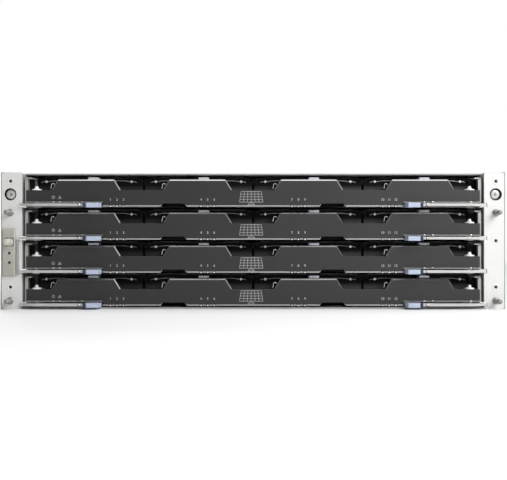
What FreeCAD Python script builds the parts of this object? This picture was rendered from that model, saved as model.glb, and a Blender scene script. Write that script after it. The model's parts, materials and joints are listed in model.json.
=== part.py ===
import FreeCAD, Part
import math
import os

# High-density storage array: a rack chassis with four pull-out drive drawers at the front and
# plug-in fan, controller and power modules at the back.
# Millimetres. X runs to the right, Y to the back, Z up. Pieces are drawn with Y = 0 on the front
# face of the rack ears and Z = 0 on the underside, then moved so that the origin is the middle of
# the footprint.
# The drives set the drawers, the drawers set the bay and the bay sets the chassis.

# Drives
column_count = 4
row_count = 3
drive_width = 101.6
drive_length = 147.0
drive_height = 26.1
drive_gap = 0.3             # below, and to the handle and socket
drive_side_gap = 5.4        # between columns
drive_wall_gap = 2.0        # to the drawer's side channel
drive_head_gap = 2.55       # to the drawer above

# Drive handles and release tabs
handle_depth = 7.7
handle_bottom = 4.0
handle_rise = 0.3           # above the raised parts of the drawer's front
handle_end_gap = 1.6        # shorter than the drive at each end
handle_corner = 4.5
tab_offset = 5.5            # to the right of the column's middle
tab_width = 10.0
tab_height = 2.3
tab_depth = 6.0             # part that rests on the handle
tab_row_gap = 0.5           # to the drive ahead

# Drawers
drawer_count = 4
drawer_sheet = 1.2
drawer_gap = 3.75           # side channel to the drawer above
drawer_side_gap = 1.85      # drawer to the chassis wall
side_channel_width = 6.2
channel_lip_z = 8.0         # lower edge of the channel's inner wall
nose_gap = 0.4              # lever brackets to the first handles
row_clearance = 0.7         # socket to the next row's handles
tray_tail = 75.4            # tray behind the last row's sockets
tray_back_drop = 6.0        # below the side channels
back_vent_count = 3
back_vent_margin = 5.0

# Drawer board
board_sheet = 1.6
board_side_gap = 7.3
board_front_gap = 2.0
board_tail_gap = 20.0
socket_width = 42.0
socket_depth = 7.0
socket_height = 9.2

# Drawer front, heights above the drawer's underside
face_setback = 2.0          # behind the ear's front face
face_sheet = 1.2
face_side_reveal = 1.6      # bare metal at each end
face_reveal = 1.2           # bare metal above and below the black face
crest_drop = 2.05           # top of the raised parts below the side channels
crest_flange = 9.0          # fold at their top, towards the back
valley_height = 15.75       # floor of the air notches
crest_half_top = 26.8
crest_slope = 5.4
end_tab_width = 3.1
end_tab_drop = 1.75         # below the side channels
finger_notch_x = 76.5
finger_notch_width = 25.0
finger_notch_height = 3.0
finger_notch_slope = 2.0

# Drawer levers
lever_zone_width = 75.0     # raised stretch of the drawer's lower edge at each end
lever_zone_height = 3.75
lever_zone_gap = 0.7        # grip end to the end of the zone
lever_thickness = 2.5
lever_gap = 0.3             # running gap above and below the lever
lever_drop = 0.8            # further below the drawer's front, for the fingers
lever_pivot_inset = 10.5    # from the drawer's side
lever_pivot_setback = 4.6   # behind the black face
lever_eye_radius = 6.2
lever_front = 7.0           # ahead of the ear's front face
lever_back_gap = 1.2        # lever arm to the black face
lever_claw = 3.0            # beyond the drawer's side
lever_claw_front = 2.4      # claw corner ahead of the ear's front face
lever_claw_taper = 1.0
lever_neck_flare = 2.0
claw_clearance = 0.4        # round the claw's sweep
claw_slot_gap = 0.6
pin_radius = 2.5
pin_clearance = 0.08
pin_sides = 8
pin_head_radius = 4.2
pin_head = 0.8
cap_radius = 4.5
cap_post_radius = 1.5
cap_height = 4.2
bracket_depth = 9.6
bracket_reach = 6.0         # inboard of the pivot
grip_length = 14.2
grip_shadow_gap = 1.2       # bare tang between arm and grip
grip_height = 4.4
grip_drop = 1.3             # below the lever's underside
grip_front = 9.5            # ahead of the ear's front face
grip_slant = 1.6
tang_margin = 2.2

# Rails
rail_sheet = 1.2
rail_gap = 0.3              # above and below the drawer's side
rail_front_gap = 2.0        # behind the levers' claws
rail_end_gap = 6.0          # rail end to the tray's back
rail_floor_gap = 0.05       # lowest rails to the case floor

# Chassis and rack ears
sheet = 1.5                 # case, cover and ear sheet
head_gap = 3.2              # top drawer to the cover
cover_setback = 14.0        # cover's front edge behind the ear's front face
ear_width = 19.95
ear_depth = 7.0             # ear front to the face that meets the rack post
ear_flange_length = 60.0    # part of the ear that runs along the side wall
rack_hole_inset = 8.75      # from the ear's outer edge
rack_hole_drop = 21.05      # from the ear's top, and from its bottom
cover_hole_drop = 8.5
ear_window_radius = 5.9     # window in the ear's skin over the rack screw
ear_hole_radius = 1.6

# Rack screws and bezel studs
rack_screw_radius = 2.5
rack_shoulder_radius = 2.6  # corners of the eight-sided shoulder in the ear's hole
rack_shoulder_clearance = 0.15
rack_screw_head_radius = 4.6
rack_screw_head = 3.2
rack_screw_reach = 13.0     # free shank behind the ear
stud_inset = 8.75           # from the ear's outer edge
stud_radius = 2.4
stud_length = 14.0
knob_radius = 2.6           # fifth stud, on the indicator module
upper_stud_drop = 38.7      # from the ear's top
lower_stud_z = 8.0

# Indicator module on the left ear
indicator_width = 12.5
indicator_inset = 1.6       # from the ear's outer edge
indicator_bottom_z = 31.6
indicator_height = 45.7
indicator_depth = 3.0
indicator_edge = 1.0
indicator_stud_drop = 13.0

# Midplane
midplane_gap = 20.0         # tray back to midplane
midplane_sheet = 2.0
midplane_side_gap = 0.3
window_columns = 3
window_margin = 18.0        # board left round each window
plug_width = 60.0
plug_height = 12.0

# Rear modules
module_gap = 8.0            # midplane to module
module_depth = 200.0
module_clearance = 0.4
partition = 1.2
fan_module_depth = 80.0
duct_radius = 44.0
duct_wall = 5.1             # thinnest wall beside the duct
duct_rise = 8.0             # duct centre above the middle of the bay
grille_sheet = 1.5
grille_rim = 2.4            # grille's bearing beyond the duct
grille_hub_radius = 12.0
grille_cell = 13.6
grille_web = 2.4
motor_radius = 17.0
motor_length = 8.0
motor_gap = 1.0
hub_sides = 18
strut_width = 5.0
strut_count = 3
strut_bury = 1.0            # strut end in the duct's wall
shaft_radius = 3.0
shaft_length = 24.0
rotor_length = 28.0
blade_count = 5
blade_tip_gap = 3.0
blade_chord = 24.0
blade_sheet = 1.4
blade_pitch = 38.0

# Handles, ports and vents of the rear modules
bail_reach = 18.0
bail_section = 6.0
bail_corner = 7.0
bail_margin = 9.0           # to the module's edge beside the handle
bail_end_margin = 4.0       # to the module's edges at the handle's ends
port_width = 20.0
port_height = 9.0
port_depth = 14.0
port_pitch = 26.0
port_inset = 24.0           # first port from the module's left side
port_drop = 23.0            # port middle below the module's top
network_width = 14.0
network_height = 12.0
inlet_width = 27.0
inlet_height = 20.0
inlet_depth = 16.0
inlet_inset = 30.0
inlet_drop = 32.0
blade_pin_width = 2.0
blade_pin_height = 4.0
blade_pin_length = 9.0
blade_pin_spread = 7.0
blade_pin_offset = 4.0
vent_width = 4.0
vent_web = 3.4
vent_depth = 8.0
vent_count = 5
vent_margin = 9.0           # to the module's edges

# Controller lever
io_lever_length = 54.0
io_lever_height = 9.0
io_lever_depth = 6.0
io_lever_rise = 16.0
io_lever_gap = 2.0          # lever to module face
io_lever_inset = 12.0
io_eye_radius = 4.2
io_lug = 2.0
io_pin_radius = 2.0
io_hook = 3.0               # finger hook at the free end

# Drawer size from the drives
column_pitch = drive_width + drive_side_gap
row_pitch = drive_length + drive_gap + socket_depth + row_clearance + handle_depth + drive_gap
half_drawer = ((column_count - 1) * column_pitch + drive_width) / 2 + drive_wall_gap + side_channel_width
drive_base = drawer_sheet + board_sheet + drive_gap
drive_top = drive_base + drive_height
drawer_pitch = drive_top + drive_head_gap
side_height = drawer_pitch - drawer_gap
crest_height = side_height - crest_drop
crest_half_base = crest_half_top + crest_slope
half_face = half_drawer - face_side_reveal
handle_top = crest_height + handle_rise
face_back = face_setback + face_sheet
front_wall_back = face_back + drawer_sheet
pivot_y = face_setback + lever_pivot_setback
bracket_back = pivot_y + bracket_depth
first_drive_y = bracket_back + nose_gap + handle_depth + drive_gap
last_drive_end = first_drive_y + (row_count - 1) * row_pitch + drive_length
tray_end = last_drive_end + socket_depth + tray_tail

# Chassis size from the drawers
half_bay = half_drawer + drawer_side_gap
half_case = half_bay + sheet
half_rack = half_bay + ear_width
drawer_stack = (drawer_count - 1) * drawer_pitch + side_height
floor_gap = rail_floor_gap + rail_sheet + rail_gap
cover_z = sheet + floor_gap + drawer_stack + head_gap
chassis_height = cover_z + sheet
midplane_y = tray_end + midplane_gap
module_y = midplane_y + midplane_sheet + module_gap
chassis_depth = module_y + module_depth
rack_hole_x = half_rack - rack_hole_inset
rack_screw_z = chassis_height - rack_hole_drop
rack_hole_radius = rack_shoulder_radius + rack_shoulder_clearance
stud_x = half_rack - stud_inset
fan_bay_width = 2 * (duct_radius + duct_wall + module_clearance)
rear_reach = chassis_depth + bail_reach
frame_shift = FreeCAD.Vector(0, (stud_length - rear_reach) / 2, 0)

# Lever places
pivot_x = half_drawer - lever_pivot_inset
lever_base = lever_zone_height - lever_gap - lever_drop - lever_thickness
lever_top = lever_base + lever_thickness
lever_back = face_setback - lever_back_gap
claw_x = half_drawer + lever_claw
claw_sweep = math.hypot(claw_x - pivot_x, pivot_y + lever_claw_front) + claw_clearance
zone_x = half_drawer - lever_zone_width
grip_end_x = zone_x + lever_zone_gap
grip_start_x = grip_end_x + grip_length
arm_end_x = grip_start_x + grip_shadow_gap
lever_zone_back = pivot_y + claw_sweep
bracket_base = lever_zone_height + lever_gap


def block(x0, x1, y0, y1, z0, z1):
    return Part.makeBox(x1 - x0, y1 - y0, z1 - z0, FreeCAD.Vector(x0, y0, z0))


def prism(points, reach):
    wire = Part.makePolygon(points + points[:1])
    return Part.Face(wire).extrude(reach)


def plan_prism(points, z0, z1):
    return prism([FreeCAD.Vector(x, y, z0) for x, y in points], FreeCAD.Vector(0, 0, z1 - z0))


def front_prism(points, y0, y1):
    return prism([FreeCAD.Vector(x, y0, z) for x, z in points], FreeCAD.Vector(0, y1 - y0, 0))


def ring(x, y, radius, sides):
    # Corners of a regular outline with a flat at the bottom.
    step = 2 * math.pi / sides
    angles = [(corner + 0.5) * step - math.pi / 2 for corner in range(sides)]
    return [(x + radius * math.cos(angle), y + radius * math.sin(angle)) for angle in angles]


def rod(radius, x, z, y0, y1):
    return Part.makeCylinder(radius, y1 - y0, FreeCAD.Vector(x, y0, z), FreeCAD.Vector(0, 1, 0))


def post(radius, x, y, z0, z1):
    return Part.makeCylinder(radius, z1 - z0, FreeCAD.Vector(x, y, z0))


def joined(*shapes):
    return shapes[0].multiFuse(list(shapes[1:])).removeSplitter()


def mirrored(shape):
    return shape.mirror(FreeCAD.Vector(0, 0, 0), FreeCAD.Vector(1, 0, 0))


def both_sides(shape):
    return [shape, mirrored(shape)]


def moved(shape, x, y, z):
    return shape.translated(FreeCAD.Vector(x, y, z))


def save(name, *shapes):
    solids = [solid for shape in shapes for solid in shape.Solids]
    whole = Part.makeCompound(solids) if len(solids) > 1 else solids[0]
    whole.translated(frame_shift).exportStep("parts/%s.step" % name)


def drawer_z(number):
    return sheet + floor_gap + (drawer_count - number) * drawer_pitch


def column_x(column):
    return (column - (column_count - 1) / 2) * column_pitch


def drive_places():
    rows = [first_drive_y + row * row_pitch for row in range(row_count)]
    return [(column_x(column), y) for y in rows for column in range(column_count)]


def claw_slots():
    # Slots, open to the front, in which the lever claws turn.
    slots = []
    for number in range(1, drawer_count + 1):
        low = drawer_z(number) + lever_base - claw_slot_gap
        high = drawer_z(number) + lever_top + claw_slot_gap
        slots.append(block(-pivot_x - claw_sweep, -half_bay, 0, lever_zone_back, low, high))
    return slots


# Case, cover and ears
def bay_walls():
    # Centre lines of the upright partitions between the rear modules.
    outer = half_bay - fan_bay_width - partition / 2
    return [-outer, 0, outer]


def middle_bays():
    left, middle, right = bay_walls()
    half = partition / 2
    return [(left + half, middle - half), (middle + half, right - half)]


def shelf_z():
    return (sheet + cover_z - partition) / 2


def chassis_case():
    # Floor plate, side walls on it, upright partitions between the rear modules, shelves between those.
    floor = block(-half_case, half_case, 0, chassis_depth, 0, sheet)
    wall = block(-half_case, -half_bay, sheet, chassis_depth, sheet, cover_z).cut(claw_slots())
    pieces = [floor] + both_sides(wall)
    for x in bay_walls():
        pieces.append(block(x - partition / 2, x + partition / 2, module_y, chassis_depth, sheet, cover_z))
    for left, right in middle_bays():
        pieces.append(block(left, right, module_y, chassis_depth, shelf_z(), shelf_z() + partition))
    return pieces


def top_cover():
    return block(-half_case, half_case, cover_setback, chassis_depth, cover_z, chassis_height)


def ear_hole(x, z):
    return front_prism(ring(x, z, ear_hole_radius, 8), 0, sheet)


def ear_bracket():
    # One folded sheet: front skin, outer edge, rack flange and the flange along the side wall.
    skin = block(-half_rack, -half_bay, 0, sheet, 0, chassis_height)
    edge = block(-half_rack, -half_rack + sheet, 0, ear_depth, 0, chassis_height)
    flange = block(-half_rack, -half_case, ear_depth - sheet, ear_depth, 0, chassis_height)
    side = block(-half_case - sheet, -half_case, ear_depth - sheet, ear_flange_length, 0, chassis_height)
    ear = joined(skin, edge, flange, side)
    corner = block(-half_case, -half_bay, 0, sheet, 0, sheet)
    holes = [
        rod(ear_window_radius, -rack_hole_x, rack_screw_z, 0, sheet),
        front_prism(ring(-rack_hole_x, rack_screw_z, rack_hole_radius, 16), sheet, ear_depth),
        ear_hole(-rack_hole_x, chassis_height - cover_hole_drop),
        ear_hole(-rack_hole_x, rack_hole_drop),
    ]
    return ear.cut([corner] + holes + claw_slots())


def right_ear_bracket():
    return mirrored(ear_bracket()).cut(ear_hole(rack_hole_x, chassis_height / 2))


def rack_screw():
    seat = ear_depth - sheet
    x = -rack_hole_x
    z = rack_screw_z
    head = front_prism(ring(x, z, rack_screw_head_radius, 16), seat - rack_screw_head, seat)
    shoulder = front_prism(ring(x, z, rack_shoulder_radius, 8), seat, ear_depth)
    shank = rod(rack_screw_radius, x, z, ear_depth, ear_depth + rack_screw_reach)
    return joined(head, shoulder, shank)


def bezel_studs():
    upper = rod(stud_radius, -stud_x, chassis_height - upper_stud_drop, -stud_length, 0)
    lower = rod(stud_radius, -stud_x, lower_stud_z, -stud_length, 0)
    module_z = indicator_bottom_z + indicator_height - indicator_stud_drop
    knob = front_prism(ring(-stud_x, module_z, knob_radius, 12), -stud_length, -indicator_depth)
    return both_sides(upper) + both_sides(lower) + [knob]


def indicator_module():
    left = -half_rack + indicator_inset
    top = indicator_bottom_z + indicator_height
    body = block(left, left + indicator_width, -indicator_depth, 0, indicator_bottom_z, top)
    front = [edge for edge in body.Edges if all(abs(v.Y + indicator_depth) < 1e-6 for v in edge.Vertexes)]
    return body.makeChamfer(indicator_edge, front)


def drawer_rail(base):
    # C-section: the drawer's side runs between the two lips.
    low = base - rail_gap - rail_sheet
    high = base + side_height + rail_gap + rail_sheet
    inner = -half_bay + rail_sheet
    tip = -half_drawer + side_channel_width + rail_gap
    profile = [(-half_bay, low), (tip, low), (tip, low + rail_sheet), (inner, low + rail_sheet),
               (inner, high - rail_sheet), (tip, high - rail_sheet), (tip, high), (-half_bay, high)]
    return front_prism(profile, lever_zone_back + rail_front_gap, tray_end - rail_end_gap)


# Drawer
def crest_points(crest):
    # Upper outline from right to left: raised parts in front of the drives, air notches between.
    points = []
    for column in reversed(range(column_count)):
        x = column_x(column)
        points += [(x + crest_half_base, valley_height), (x + crest_half_top, crest)]
        points += [(x - crest_half_top, crest), (x - crest_half_base, valley_height)]
    return points


def lower_points(half_width, bottom, lever_bottom):
    # Lower outline from left to right, with a sloped finger notch each side of the middle.
    half_notch = finger_notch_width / 2
    top = finger_notch_height
    points = [(-half_width, lever_bottom), (-zone_x, lever_bottom), (-zone_x, bottom)]
    for x in (-finger_notch_x, finger_notch_x):
        points += [(x - half_notch, bottom), (x - half_notch + finger_notch_slope, top)]
        points += [(x + half_notch - finger_notch_slope, top), (x + half_notch, bottom)]
    return points + [(zone_x, bottom), (zone_x, lever_bottom), (half_width, lever_bottom)]


def faceplate():
    lower = lower_points(half_face, drawer_sheet, lever_zone_height + face_reveal)
    upper = crest_points(crest_height - face_reveal)
    ends = [(half_face, valley_height)], [(-half_face, valley_height)]
    return front_prism(lower + ends[0] + upper + ends[1], face_setback, face_back)


def front_wall():
    # Same outline in bare metal, with a narrow upright tab at each end.
    inner = half_drawer - end_tab_width
    tab_top = side_height - end_tab_drop
    lower = lower_points(half_drawer, 0, lever_zone_height)
    right = [(half_drawer, tab_top), (inner, tab_top), (inner, valley_height)]
    left = [(-x, z) for x, z in reversed(right)]
    upper = crest_points(crest_height)
    return front_prism(lower + right + upper + left, face_back, front_wall_back)


def crest_flanges():
    low = crest_height - drawer_sheet
    back = front_wall_back + crest_flange
    places = [column_x(column) for column in range(column_count)]
    return [block(x - crest_half_top, x + crest_half_top, front_wall_back, back, low, crest_height)
            for x in places]


def tray_floor():
    floor = block(-half_drawer, half_drawer, face_setback, tray_end, 0, drawer_sheet)
    corner = block(-half_drawer, -zone_x, face_setback, lever_zone_back, 0, drawer_sheet)
    half_notch = finger_notch_width / 2
    notch = block(-finger_notch_x - half_notch, -finger_notch_x + half_notch, face_setback, lever_zone_back,
                  0, drawer_sheet)
    return floor.cut(both_sides(corner) + both_sides(notch))


def side_channel():
    outer = -half_drawer
    inner = outer + side_channel_width
    web = side_height - drawer_sheet
    profile = [(outer, 0), (outer + drawer_sheet, 0), (outer + drawer_sheet, web),
               (inner - drawer_sheet, web),
               (inner - drawer_sheet, channel_lip_z), (inner, channel_lip_z), (inner, side_height),
               (outer, side_height)]
    channel = front_prism(profile, front_wall_back, tray_end)
    relief = block(outer, inner, front_wall_back, lever_zone_back, 0, bracket_base)
    opening = block(outer + drawer_sheet, inner, front_wall_back, bracket_back, 0, web)
    return channel.cut([relief, opening])


def tray_back():
    front = tray_end - drawer_sheet
    top = side_height - tray_back_drop
    wall = block(-half_drawer, half_drawer, front, tray_end, 0, top)
    pitch = 2 * (half_drawer - side_channel_width) / back_vent_count
    half = pitch / 2 - back_vent_margin
    vents = []
    for step in range(back_vent_count):
        middle = (step - (back_vent_count - 1) / 2) * pitch
        vents.append(block(middle - half, middle + half, front, tray_end,
                           drawer_sheet + back_vent_margin, top - back_vent_margin))
    return wall.cut(vents)


def lever_bracket():
    # Two plates that hold the lever's pin, on an upright strip along the drawer's side.
    outer = -half_drawer + drawer_sheet
    inner = -pivot_x + bracket_reach
    low = block(outer, inner, face_back, bracket_back, bracket_base, bracket_base + drawer_sheet)
    high = block(outer, inner, face_back, bracket_back, valley_height - drawer_sheet, valley_height)
    strip = block(outer - drawer_sheet, outer, face_back, bracket_back, bracket_base, valley_height)
    return [low, high, strip]


def lever_pin():
    # Riveted head under the lever, pin through its eye, cap and knob on the upper plate.
    head_top = lever_base - lever_gap
    cap_top = valley_height + drawer_sheet
    steps = [(pin_head_radius, head_top - pin_head, head_top), (pin_radius, head_top, bracket_base),
             (cap_radius, valley_height, cap_top), (cap_post_radius, cap_top, valley_height + cap_height)]
    return [plan_prism(ring(-pivot_x, pivot_y, radius, pin_sides), low, high) for radius, low, high in steps]


def tray():
    pieces = [tray_floor(), front_wall(), tray_back()] + crest_flanges() + both_sides(side_channel())
    for piece in lever_bracket() + lever_pin():
        pieces += both_sides(piece)
    return joined(*pieces)


def drawer_board():
    low = drawer_sheet + board_sheet
    half = half_drawer - side_channel_width - board_side_gap
    board = block(-half, half, lever_zone_back + board_front_gap, tray_end - board_tail_gap,
                  drawer_sheet, low)
    sockets = []
    for x, y in drive_places():
        start = y + drive_length + drive_gap
        sockets.append(block(x - socket_width / 2, x + socket_width / 2, start, start + socket_depth,
                             low, low + socket_height))
    return [board] + sockets


def drive():
    half = drive_width / 2
    return block(-half, half, 0, drive_length, drive_base, drive_top)


def drive_handle():
    # Bar across the drive's nose, lower towards both ends.
    half = drive_width / 2 - handle_end_gap
    inner = half - handle_corner
    shoulder = handle_top - handle_corner
    points = [(-half, handle_bottom), (half, handle_bottom), (half, shoulder), (inner, handle_top),
              (-inner, handle_top), (-half, shoulder)]
    return front_prism(points, -drive_gap - handle_depth, -drive_gap)


def release_tab():
    # Thumb piece on the handle that reaches ahead over the front's folded edge.
    front = drive_length - row_pitch + tab_row_gap
    back = tab_depth - handle_depth - drive_gap
    return block(tab_offset - tab_width / 2, tab_offset + tab_width / 2, front, back,
                 handle_top, handle_top + tab_height)


def per_drive(shape):
    return [moved(shape, x, y, 0) for x, y in drive_places()]


def lever_arm():
    # Stamped plate: claw at the drawer's side, eye under the bracket, arm along the drawer's front.
    neck = lever_eye_radius + lever_neck_flare
    points = [(-claw_x, -lever_claw_front), (-claw_x + lever_claw_taper, lever_back),
              (-pivot_x - lever_eye_radius, pivot_y), (-pivot_x + lever_eye_radius, pivot_y),
              (-pivot_x + neck, lever_back), (-arm_end_x, lever_back),
              (-arm_end_x, -lever_front), (-pivot_x, -lever_front)]
    plate = plan_prism(points, lever_base, lever_top)
    eye = plan_prism(ring(-pivot_x, pivot_y, lever_eye_radius, pin_sides), lever_base, lever_top)
    tang = block(-arm_end_x, -grip_end_x - tang_margin, -lever_front + tang_margin,
                 lever_back - tang_margin, lever_base + lever_gap, lever_top - lever_gap)
    hole = post(pin_radius + pin_clearance, -pivot_x, pivot_y, lever_base, lever_top)
    return joined(plate, eye, tang).cut(hole)


def lever_grip():
    low = lever_base - grip_drop
    points = [(-grip_start_x, -grip_front + grip_slant), (-grip_start_x + grip_slant, -grip_front),
              (-grip_end_x - grip_slant, -grip_front), (-grip_end_x, lever_back),
              (-grip_start_x, lever_back)]
    return plan_prism(points, low, low + grip_height).cut(lever_arm())


# Midplane and rear modules
def module_floors():
    return [shelf_z() + partition, sheet]


def midplane_board():
    half = half_bay - midplane_side_gap
    back = midplane_y + midplane_sheet
    board = block(-half, half, midplane_y, back, sheet, cover_z - midplane_side_gap)
    pitch = 2 * half / window_columns
    reach = pitch / 2 - window_margin
    windows = []
    for column in range(window_columns):
        x = (column - (window_columns - 1) / 2) * pitch
        for low, high in ((sheet, shelf_z()), (shelf_z(), cover_z)):
            windows.append(block(x - reach, x + reach, midplane_y, back,
                                 low + window_margin, high - window_margin))
    plugs = []
    for left, right in middle_bays():
        for low in module_floors():
            x = (left + right) / 2
            plugs.append(block(x - plug_width / 2, x + plug_width / 2, back, module_y,
                               low, low + plug_height))
    return [board.cut(windows)] + plugs


def module_box(bay, low):
    # Plug-in box that rests on its shelf with a fitting gap at the sides and top.
    left, right = bay
    high = shelf_z() if low == sheet else cover_z
    return (left + module_clearance, right - module_clearance, low, high - module_clearance)


def vent_slots(x, low, high):
    # Upright slots; x is the left side of the first one.
    pitch = vent_width + vent_web
    front = chassis_depth - vent_depth
    starts = [x + step * pitch for step in range(vent_count)]
    return [block(start, start + vent_width, front, chassis_depth, low + vent_margin, high - vent_margin)
            for start in starts]


def bail(span):
    # Fixed handle with cut corners, lying flat, its feet on the module's back.
    half = span / 2
    inner = half - bail_section
    points = [(-half, 0), (-half, bail_reach - bail_corner), (-half + bail_corner, bail_reach),
              (half - bail_corner, bail_reach), (half, bail_reach - bail_corner), (half, 0), (inner, 0),
              (inner, bail_reach - bail_corner), (half - bail_corner, bail_reach - bail_section),
              (-half + bail_corner, bail_reach - bail_section), (-inner, bail_reach - bail_corner),
              (-inner, 0)]
    return plan_prism(points, -bail_section / 2, bail_section / 2)


def pocket(x, z, width, height, depth):
    half_width = width / 2
    half_height = height / 2
    return block(x - half_width, x + half_width, chassis_depth - depth, chassis_depth,
                 z - half_height, z + half_height)


def io_pivot(low):
    left = module_box(middle_bays()[0], low)[0]
    return left + io_lever_inset, chassis_depth + io_lever_gap + io_lever_depth / 2, low + io_lever_rise


def io_module(low):
    left, right, low, high = module_box(middle_bays()[0], low)
    body = block(left, right, module_y, chassis_depth, low, high)
    port_z = high - port_drop
    ports = [pocket(left + port_inset + step * port_pitch, port_z, port_width, port_height, port_depth)
             for step in range(2)]
    network = pocket(left + port_inset + 2 * port_pitch, port_z, network_width, network_height, port_depth)
    vents = vent_slots(right - vent_margin - vent_count * (vent_width + vent_web), low, high)
    pivot_at, pivot_back, lever_z = io_pivot(low)
    half = io_lever_height / 2 + lever_gap
    reach = chassis_depth + io_lever_gap + io_lever_depth
    lugs = [block(pivot_at - io_eye_radius, pivot_at + io_eye_radius, chassis_depth, reach, z, z + io_lug)
            for z in (lever_z - half - io_lug, lever_z + half)]
    pin = plan_prism(ring(pivot_at, pivot_back, io_pin_radius, pin_sides), lever_z - half, lever_z + half)
    return joined(body.cut(ports + [network] + vents), *lugs, pin)


def io_lever(low):
    pivot_at, pivot_back, lever_z = io_pivot(low)
    half_depth = io_lever_depth / 2
    low_z = lever_z - io_lever_height / 2
    high_z = lever_z + io_lever_height / 2
    tip = pivot_at + io_lever_length
    front = pivot_back - half_depth
    back = pivot_back + half_depth
    points = [(pivot_at, front), (tip, front), (tip, back + io_hook), (tip - io_hook, back + io_hook),
              (tip - 2 * io_hook, back), (pivot_at, back)]
    bar = plan_prism(points, low_z, high_z)
    eye = plan_prism(ring(pivot_at, pivot_back, io_eye_radius, pin_sides), low_z, high_z)
    hole = post(io_pin_radius + pin_clearance, pivot_at, pivot_back, low_z, high_z)
    return joined(bar, eye).cut(hole)


def power_supply(low):
    left, right, low, high = module_box(middle_bays()[1], low)
    body = block(left, right, module_y, chassis_depth, low, high)
    x = left + inlet_inset
    z = high - inlet_drop
    inlet = pocket(x, z, inlet_width, inlet_height, inlet_depth)
    pins = []
    start = chassis_depth - inlet_depth
    for step in (-1, 0, 1):
        pin_x = x + step * blade_pin_spread
        pin_z = z + (0.5 - abs(step)) * blade_pin_offset
        pin = block(-blade_pin_width / 2, blade_pin_width / 2, start, start + blade_pin_length,
                    -blade_pin_height / 2, blade_pin_height / 2)
        pins.append(moved(pin, pin_x, 0, pin_z))
    vents = vent_slots(x + inlet_width / 2 + vent_margin, low, high)
    handle = bail(high - low - 2 * bail_end_margin)
    handle.rotate(FreeCAD.Vector(0, 0, 0), FreeCAD.Vector(0, 1, 0), 90)
    handle = moved(handle, right - bail_margin - bail_section / 2, chassis_depth, (low + high) / 2)
    return joined(body.cut([inlet] + vents), handle, *pins)


def fan_bay():
    return -half_bay, bay_walls()[0] - partition / 2


def fan_middle():
    left, right = fan_bay()
    return (left + right) / 2, (sheet + cover_z) / 2 + duct_rise


def fan_module():
    left, right = fan_bay()
    x, z = fan_middle()
    front = chassis_depth - fan_module_depth
    body = block(left + module_clearance, right - module_clearance, front, chassis_depth,
                 sheet, cover_z - module_clearance)
    duct = front_prism(ring(x, z, duct_radius, 2 * hub_sides), front, chassis_depth)
    motor_y = chassis_depth - motor_length
    motor = front_prism(ring(x, z, motor_radius, hub_sides), motor_y, chassis_depth)
    shaft = front_prism(ring(x, z, shaft_radius, pin_sides), motor_y - shaft_length, motor_y)
    struts = []
    for step in range(strut_count):
        strut = block(x, x + duct_radius + strut_bury, motor_y, chassis_depth,
                      z - strut_width / 2, z + strut_width / 2)
        strut.rotate(FreeCAD.Vector(x, 0, z), FreeCAD.Vector(0, 1, 0), 90 + step * 360 / strut_count)
        struts.append(strut)
    handle = moved(bail(duct_radius + bail_margin), x, chassis_depth, sheet + bail_margin + bail_section / 2)
    return joined(body.cut(duct), motor, shaft, handle, *struts)


def fan_grille():
    # Disc on the module's back, with a honeycomb ring round a closed hub.
    x, z = fan_middle()
    back = chassis_depth + grille_sheet
    disc = front_prism(ring(x, z, duct_radius + grille_rim, 2 * hub_sides), chassis_depth, back)
    pitch = grille_cell + grille_web
    reach = int(duct_radius / pitch) + 1
    cells = []
    for row in range(-reach, reach + 1):
        for column in range(-reach, reach + 1):
            across = (column + row % 2 / 2) * pitch
            up = row * pitch * math.sqrt(3) / 2
            distance = math.hypot(across, up)
            if grille_hub_radius < distance < duct_radius - grille_cell / 2:
                outline = ring(x + across, z + up, grille_cell / math.sqrt(3), 6)
                cells.append(front_prism(outline, chassis_depth, back))
    return disc.cut(cells)


def fan_rotor():
    x, z = fan_middle()
    back = chassis_depth - motor_length - motor_gap
    front = back - rotor_length
    hub = front_prism(ring(x, z, motor_radius, hub_sides), front, back)
    blades = []
    for step in range(blade_count):
        blade = block(x + motor_radius / 2, x + duct_radius - blade_tip_gap,
                      -blade_sheet / 2, blade_sheet / 2, z - blade_chord / 2, z + blade_chord / 2)
        blade.rotate(FreeCAD.Vector(x, 0, z), FreeCAD.Vector(1, 0, 0), blade_pitch)
        blade.rotate(FreeCAD.Vector(x, 0, z), FreeCAD.Vector(0, 1, 0), step * 360 / blade_count)
        blades.append(moved(blade, 0, (front + back) / 2, 0))
    bore = rod(shaft_radius + pin_clearance, x, z, back - shaft_length - motor_gap, back)
    return joined(hub, *blades).cut(bore)


def save_chassis():
    save("chassis_case", *chassis_case())
    save("top_cover", top_cover())
    save("left_rack_ear", ear_bracket())
    save("right_rack_ear", right_ear_bracket())
    save("rack_screws", *both_sides(rack_screw()))
    save("bezel_studs", *bezel_studs())
    save("indicator_module", indicator_module())
    rails = [drawer_rail(drawer_z(number)) for number in range(1, drawer_count + 1)]
    save("drawer_rails", *rails, *[mirrored(rail) for rail in rails])


def save_drawers():
    parts = {
        "tray": [tray()],
        "faceplate": [faceplate()],
        "board": drawer_board(),
        "drives": per_drive(drive()),
        "drive_handles": per_drive(drive_handle()),
        "release_tabs": per_drive(release_tab()),
        "left_lever": [lever_arm()],
        "left_grip": [lever_grip()],
        "right_lever": [mirrored(lever_arm())],
        "right_grip": [mirrored(lever_grip())],
    }
    for number in range(1, drawer_count + 1):
        for name, shapes in parts.items():
            placed = [moved(shape, 0, 0, drawer_z(number)) for shape in shapes]
            save("drawer_%d_%s" % (number, name), *placed)


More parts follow.
